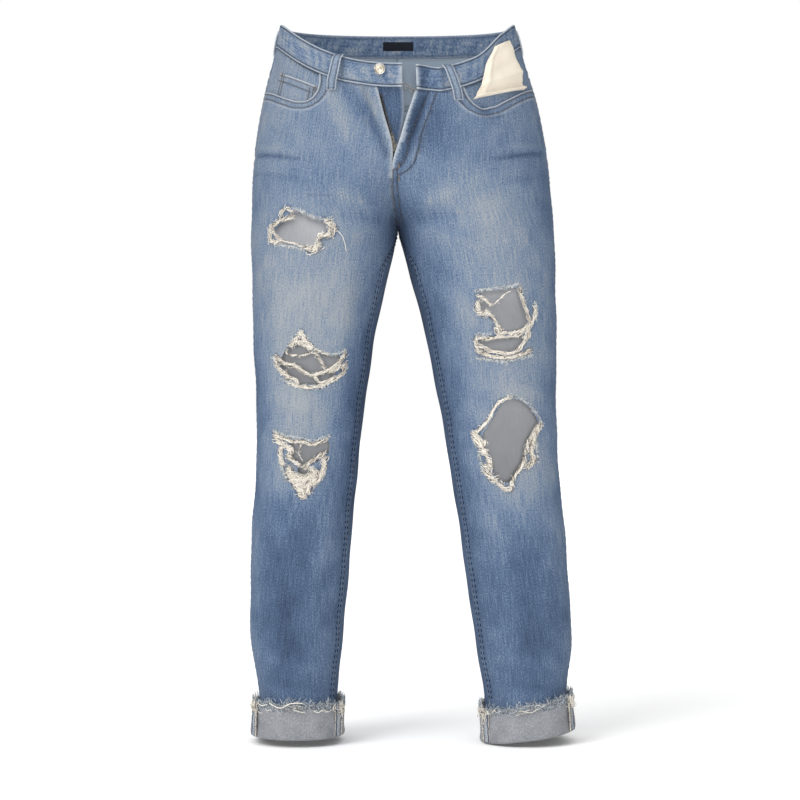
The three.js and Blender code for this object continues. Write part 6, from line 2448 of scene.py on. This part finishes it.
    def fray(self, side: LegSide, seed: int) -> None:
        """Frays the cuff's raw edge into upright warp ends and a few loose weft yarns."""
        draw = np.random.default_rng(seed)
        count, steps = 1300, 7
        t = np.linspace(0, 1, steps)[None]
        reach = draw.uniform(3.5, 12.0, (count, 1)) / steps
        heading = draw.normal(math.pi / 2, 0.5, (count, 1)) + draw.normal(0, 1.5, (count, 1)) * t
        root = CUFF_HEIGHT - draw.uniform(1.0, self.fray_zone + 2.0, (count, 1))
        height = root + np.cumsum(np.sin(heading), 1) * reach
        foot = draw.uniform(0, 2 * math.pi, (count, 1))
        theta = foot + np.cumsum(np.cos(heading), 1) * reach / side.cuff_half
        out = 0.3 + mix(0.0, -1.4, clamp01((height - 24) / 22)) + draw.uniform(0, 1.8, (count, 1)) * t
        paths = self.point(side, theta, height, out)
        name = f"cuff_fringe_{side.name}"
        # painted shade at the fringe's roots, lighter tips
        lit = np.broadcast_to(0.3 + 0.6 * t, (count, steps))
        dress_yarns(name, Finish.HEM_WARP, "denim", paths, draw.uniform(0.26, 0.46, count), draw, lit)
        count, steps = 30, 14
        t = np.linspace(0, 1, steps)[None]
        start = draw.uniform(0, 2 * math.pi, (count, 1))
        span = draw.uniform(0.1, 0.42, (count, 1))
        base = CUFF_HEIGHT - draw.uniform(0.5, 9.0, (count, 1))
        wave = draw.uniform(0.6, 2.6, (count, 1)) * np.sin(t * draw.uniform(3, 12, (count, 1)) + start)
        out = 1.2 - 1.3 * clamp01((base - 24) / 22) + draw.uniform(0.2, 1.6, (count, 1)) * np.sin(math.pi * t)
        paths = self.point(side, start + span * t, base + wave, out)
        if side is RIGHT:
            place = rounded(
                ((168, 48), (163, 44), (157, 40.5), (150, 42), (139, 48), (131, 49), (122, 46)), 4.4
            )
            x, height = (np.interp(t[0], np.linspace(0, 1, len(place)), place[:, k]) for k in (0, 1))
            around = np.arccos(spread((x - 133.5) / side.cuff_half, ROUNDNESS / 2))
            paths = np.concatenate([paths, self.point(side, around, height, np.full(steps, 1.9))[None]])
        paths = np.concatenate(
            [paths, self.tuft(side, SIDE_SEAM + 0.35, draw), self.tuft(side, math.pi - 0.45, draw)]
        )
        radius = draw.uniform(0.3, 0.5, len(paths))
        lit = np.full(paths.shape[:2], 0.6)
        if side is RIGHT:
            radius[count], lit[count] = 0.62, 1.1
        name = f"cuff_loose_weft_{side.name}"
        dress_yarns(name, Finish.WEFT, "denim_reverse", paths, radius, draw, lit)

    def build(self) -> None:
        """Builds both cuffs."""
        thread = Stitching("cuff_overlock_thread", Finish.BEIGE_THREAD, 2.8, 3.0, 0.4)
        for side in SIDES:
            self.body(side)
            for name, theta, width, beige in self.allowances:
                self.seam(side, f"cuff_{name}_{side.name}", theta, width, beige)
            for _, theta, width, _ in self.allowances:
                self.overlock(side, theta, width, thread)
            self.fray(side, 70 + side.sign)
        thread.build("denim_reverse")


@dataclass
class BandSeams:
    """Topstitching of the waistband and the fly's bar tacks."""

    band: Stitching
    front: Stitching

    def waist(self) -> None:
        """Sews both edges of the waistband."""
        for side in SIDES:
            start = float(side.theta_at(BAND_ENDS[side.name], FLY_TOP_Z))
            theta = np.linspace(start - 0.03, -math.pi / 2, 520)
            x = side.sign * side.point(theta, side.band_top(theta))[..., 0]
            lift = np.where(theta > 0, side.fly_lift(x, np.full_like(x, FLY_TOP_Z)), 0.0)
            for share in BAND_ROWS:
                z = mix(side.band_seam(theta), side.band_top(theta), share)
                self.band.on_skin(side, theta, z, BAND_HALF * 0.66 + 0.15 + lift)

    def tacks(self) -> None:
        """Sews the bar tacks at the foot of the fly and on the coin pocket."""
        for side, x, z, out in (
            (LEFT, 1, -156, 1.2), (LEFT, 2, -171, 1.2), (RIGHT, -107, -56, -1.4), (RIGHT, -152, -33, -1.4)
        ):
            theta = side.front_theta(np.array([x]), np.array([z]))
            middle = side.skin(theta, np.array([z]), np.array([out]))[0]
            self.front.bar(middle, np.array([1.0, 0, 0]), np.array([0, 0, -1.0]), 7.0, 2.4)

    def inside_rows(self) -> None:
        """Sews the pale rows on the yoke's inside that show through the open fly."""
        thread = Stitching("inside_beige_stitching", Finish.BEIGE_THREAD, 3.4, 3.2, 0.7)
        x = np.linspace(5.0, 27.0, 40)
        for drop in (0.0, 3.6, 7.2):
            z = -16.5 - drop - 0.03 * (x - 5.0) ** 2
            thread.on_skin(LEFT, LEFT.theta_at(x, z, front=False), z, -CLOTH - 2.6)
        thread.build("denim_reverse")

    def build(self) -> None:
        """Sews everything."""
        self.waist()
        self.tacks()
        self.inside_rows()


# ---- Studio -------------------------------------------------------------------------------------


@dataclass
class Studio:
    """Camera, pale floor and soft light."""

    distance: float = 2.6
    eye_height: float = -0.456
    eye_side: float = 0.0027
    lens: float = 87.97
    wall_light: float = 0.2
    top_light: float = 1.27
    front_power: float = 63.0
    key_strength: float = 1.7

    def camera(self) -> None:
        """Stands the camera level in front of the garment."""
        data = bpy.data.cameras.new("camera")
        data.lens = self.lens
        data.sensor_width = 36.0
        data.clip_end = 60.0
        camera = stand("camera", data)
        camera.location = (self.eye_side, -self.distance, self.eye_height)
        camera.rotation_euler = (math.pi / 2, 0, 0)
        bpy.context.scene.camera = camera

    def floor(self, height: float) -> None:
        """Lays a plain pale floor."""
        plane = bmesh.new()
        bmesh.ops.create_grid(plane, x_segments=1, y_segments=1, size=20.0)
        bmesh.ops.translate(plane, vec=(0, 0, height), verts=plane.verts)
        mesh = mesh_from("floor", plane)
        material, tree, shader = new_material("studio_floor_white_paper")
        plug(tree, shader, {"Base Color": linear("#f7f7f7"), "Roughness": 0.9, "Specular IOR Level": 0.1})
        mesh.materials.append(material)
        floor = stand("floor", mesh)

    def sun(self, name: str, where: tuple[float, ...]) -> None:
        """Shines an even, very soft light from a direction."""
        data = bpy.data.lights.new(name, "SUN")
        data.energy = self.key_strength
        data.angle = math.radians(36)
        lamp = stand(name, data)
        lamp.rotation_euler = (-Vector(where)).to_track_quat("-Z", "Y").to_euler()

    def light(self, name: str, where: tuple[float, ...], size: float, power: float) -> None:
        """Hangs a square softbox that looks at the garment's middle."""
        data = bpy.data.lights.new(name, "AREA")
        data.shape = "SQUARE"
        data.size = size
        data.energy = power
        lamp = stand(name, data)
        lamp.location = where
        aim = Vector((0, 0, self.eye_height)) - Vector(where)
        lamp.rotation_euler = aim.to_track_quat("-Z", "Y").to_euler()

    def sky(self) -> None:
        """Closes the studio with a white room, brighter overhead, where the floor takes its light."""
        world = bpy.data.worlds.new("studio")
        world.use_nodes = True
        tree = world.node_tree
        way = add_node(tree, "TexCoord", output="Generated")
        height = add_node(tree, "SeparateXYZ", (way,), "Z")
        reach = {
            "Value": height, "From Min": 0.2, "From Max": 0.8, "To Min": self.wall_light,
            "To Max": self.top_light,
        }
        dome = add_node(tree, "MapRange", reach)
        seen = add_node(tree, "LightPath", output="Is Camera Ray")
        strength = add_node(tree, "Mix", {"Factor": seen, "A": dome, "B": 1.0})
        plug(tree, tree.nodes["Background"], {"Strength": strength, "Color": (1, 1, 1, 1)})
        bpy.context.scene.world = world

    def lights(self) -> None:
        """Lights the garment from beside the camera, and a little from the upper left."""
        self.sky()
        self.light("front", (self.eye_side, -3.4, self.eye_height), 0.22, self.front_power)
        self.sun("key", (-1.9, -1.7, 2.1))
        bpy.context.scene.view_settings.view_transform = "Standard"


def main() -> None:
    """Builds the studio and the garment, piece by piece."""
    logging.basicConfig(level=logging.INFO, format="%(message)s")
    studio = Studio()
    studio.camera()
    band = Stitching("waistband_stitching", Finish.BLUE_THREAD, 2.8, 3.5, 0.36)
    upper = Stitching("upper_stitching", Finish.BROWN_THREAD, 2.7, 3.4, 0.38)
    legs = Stitching("leg_stitching", Finish.DARK_THREAD, 4.6, 7.4, 0.9)
    for side in SIDES:
        LegCloth(side, upper, legs).build()
    Waistband().build()
    Pockets(upper).build()
    Fly().build()
    Cuffs().build()
    BandSeams(band, upper).build()
    for thread in (band, upper, legs):
        thread.build("denim")
    for number, rip in enumerate(RIPS):
        RipDressing(rip, 100 + number).dress()
    studio.floor(cad_box[0][2])
    studio.lights()


if __name__ == "__main__":
    main()
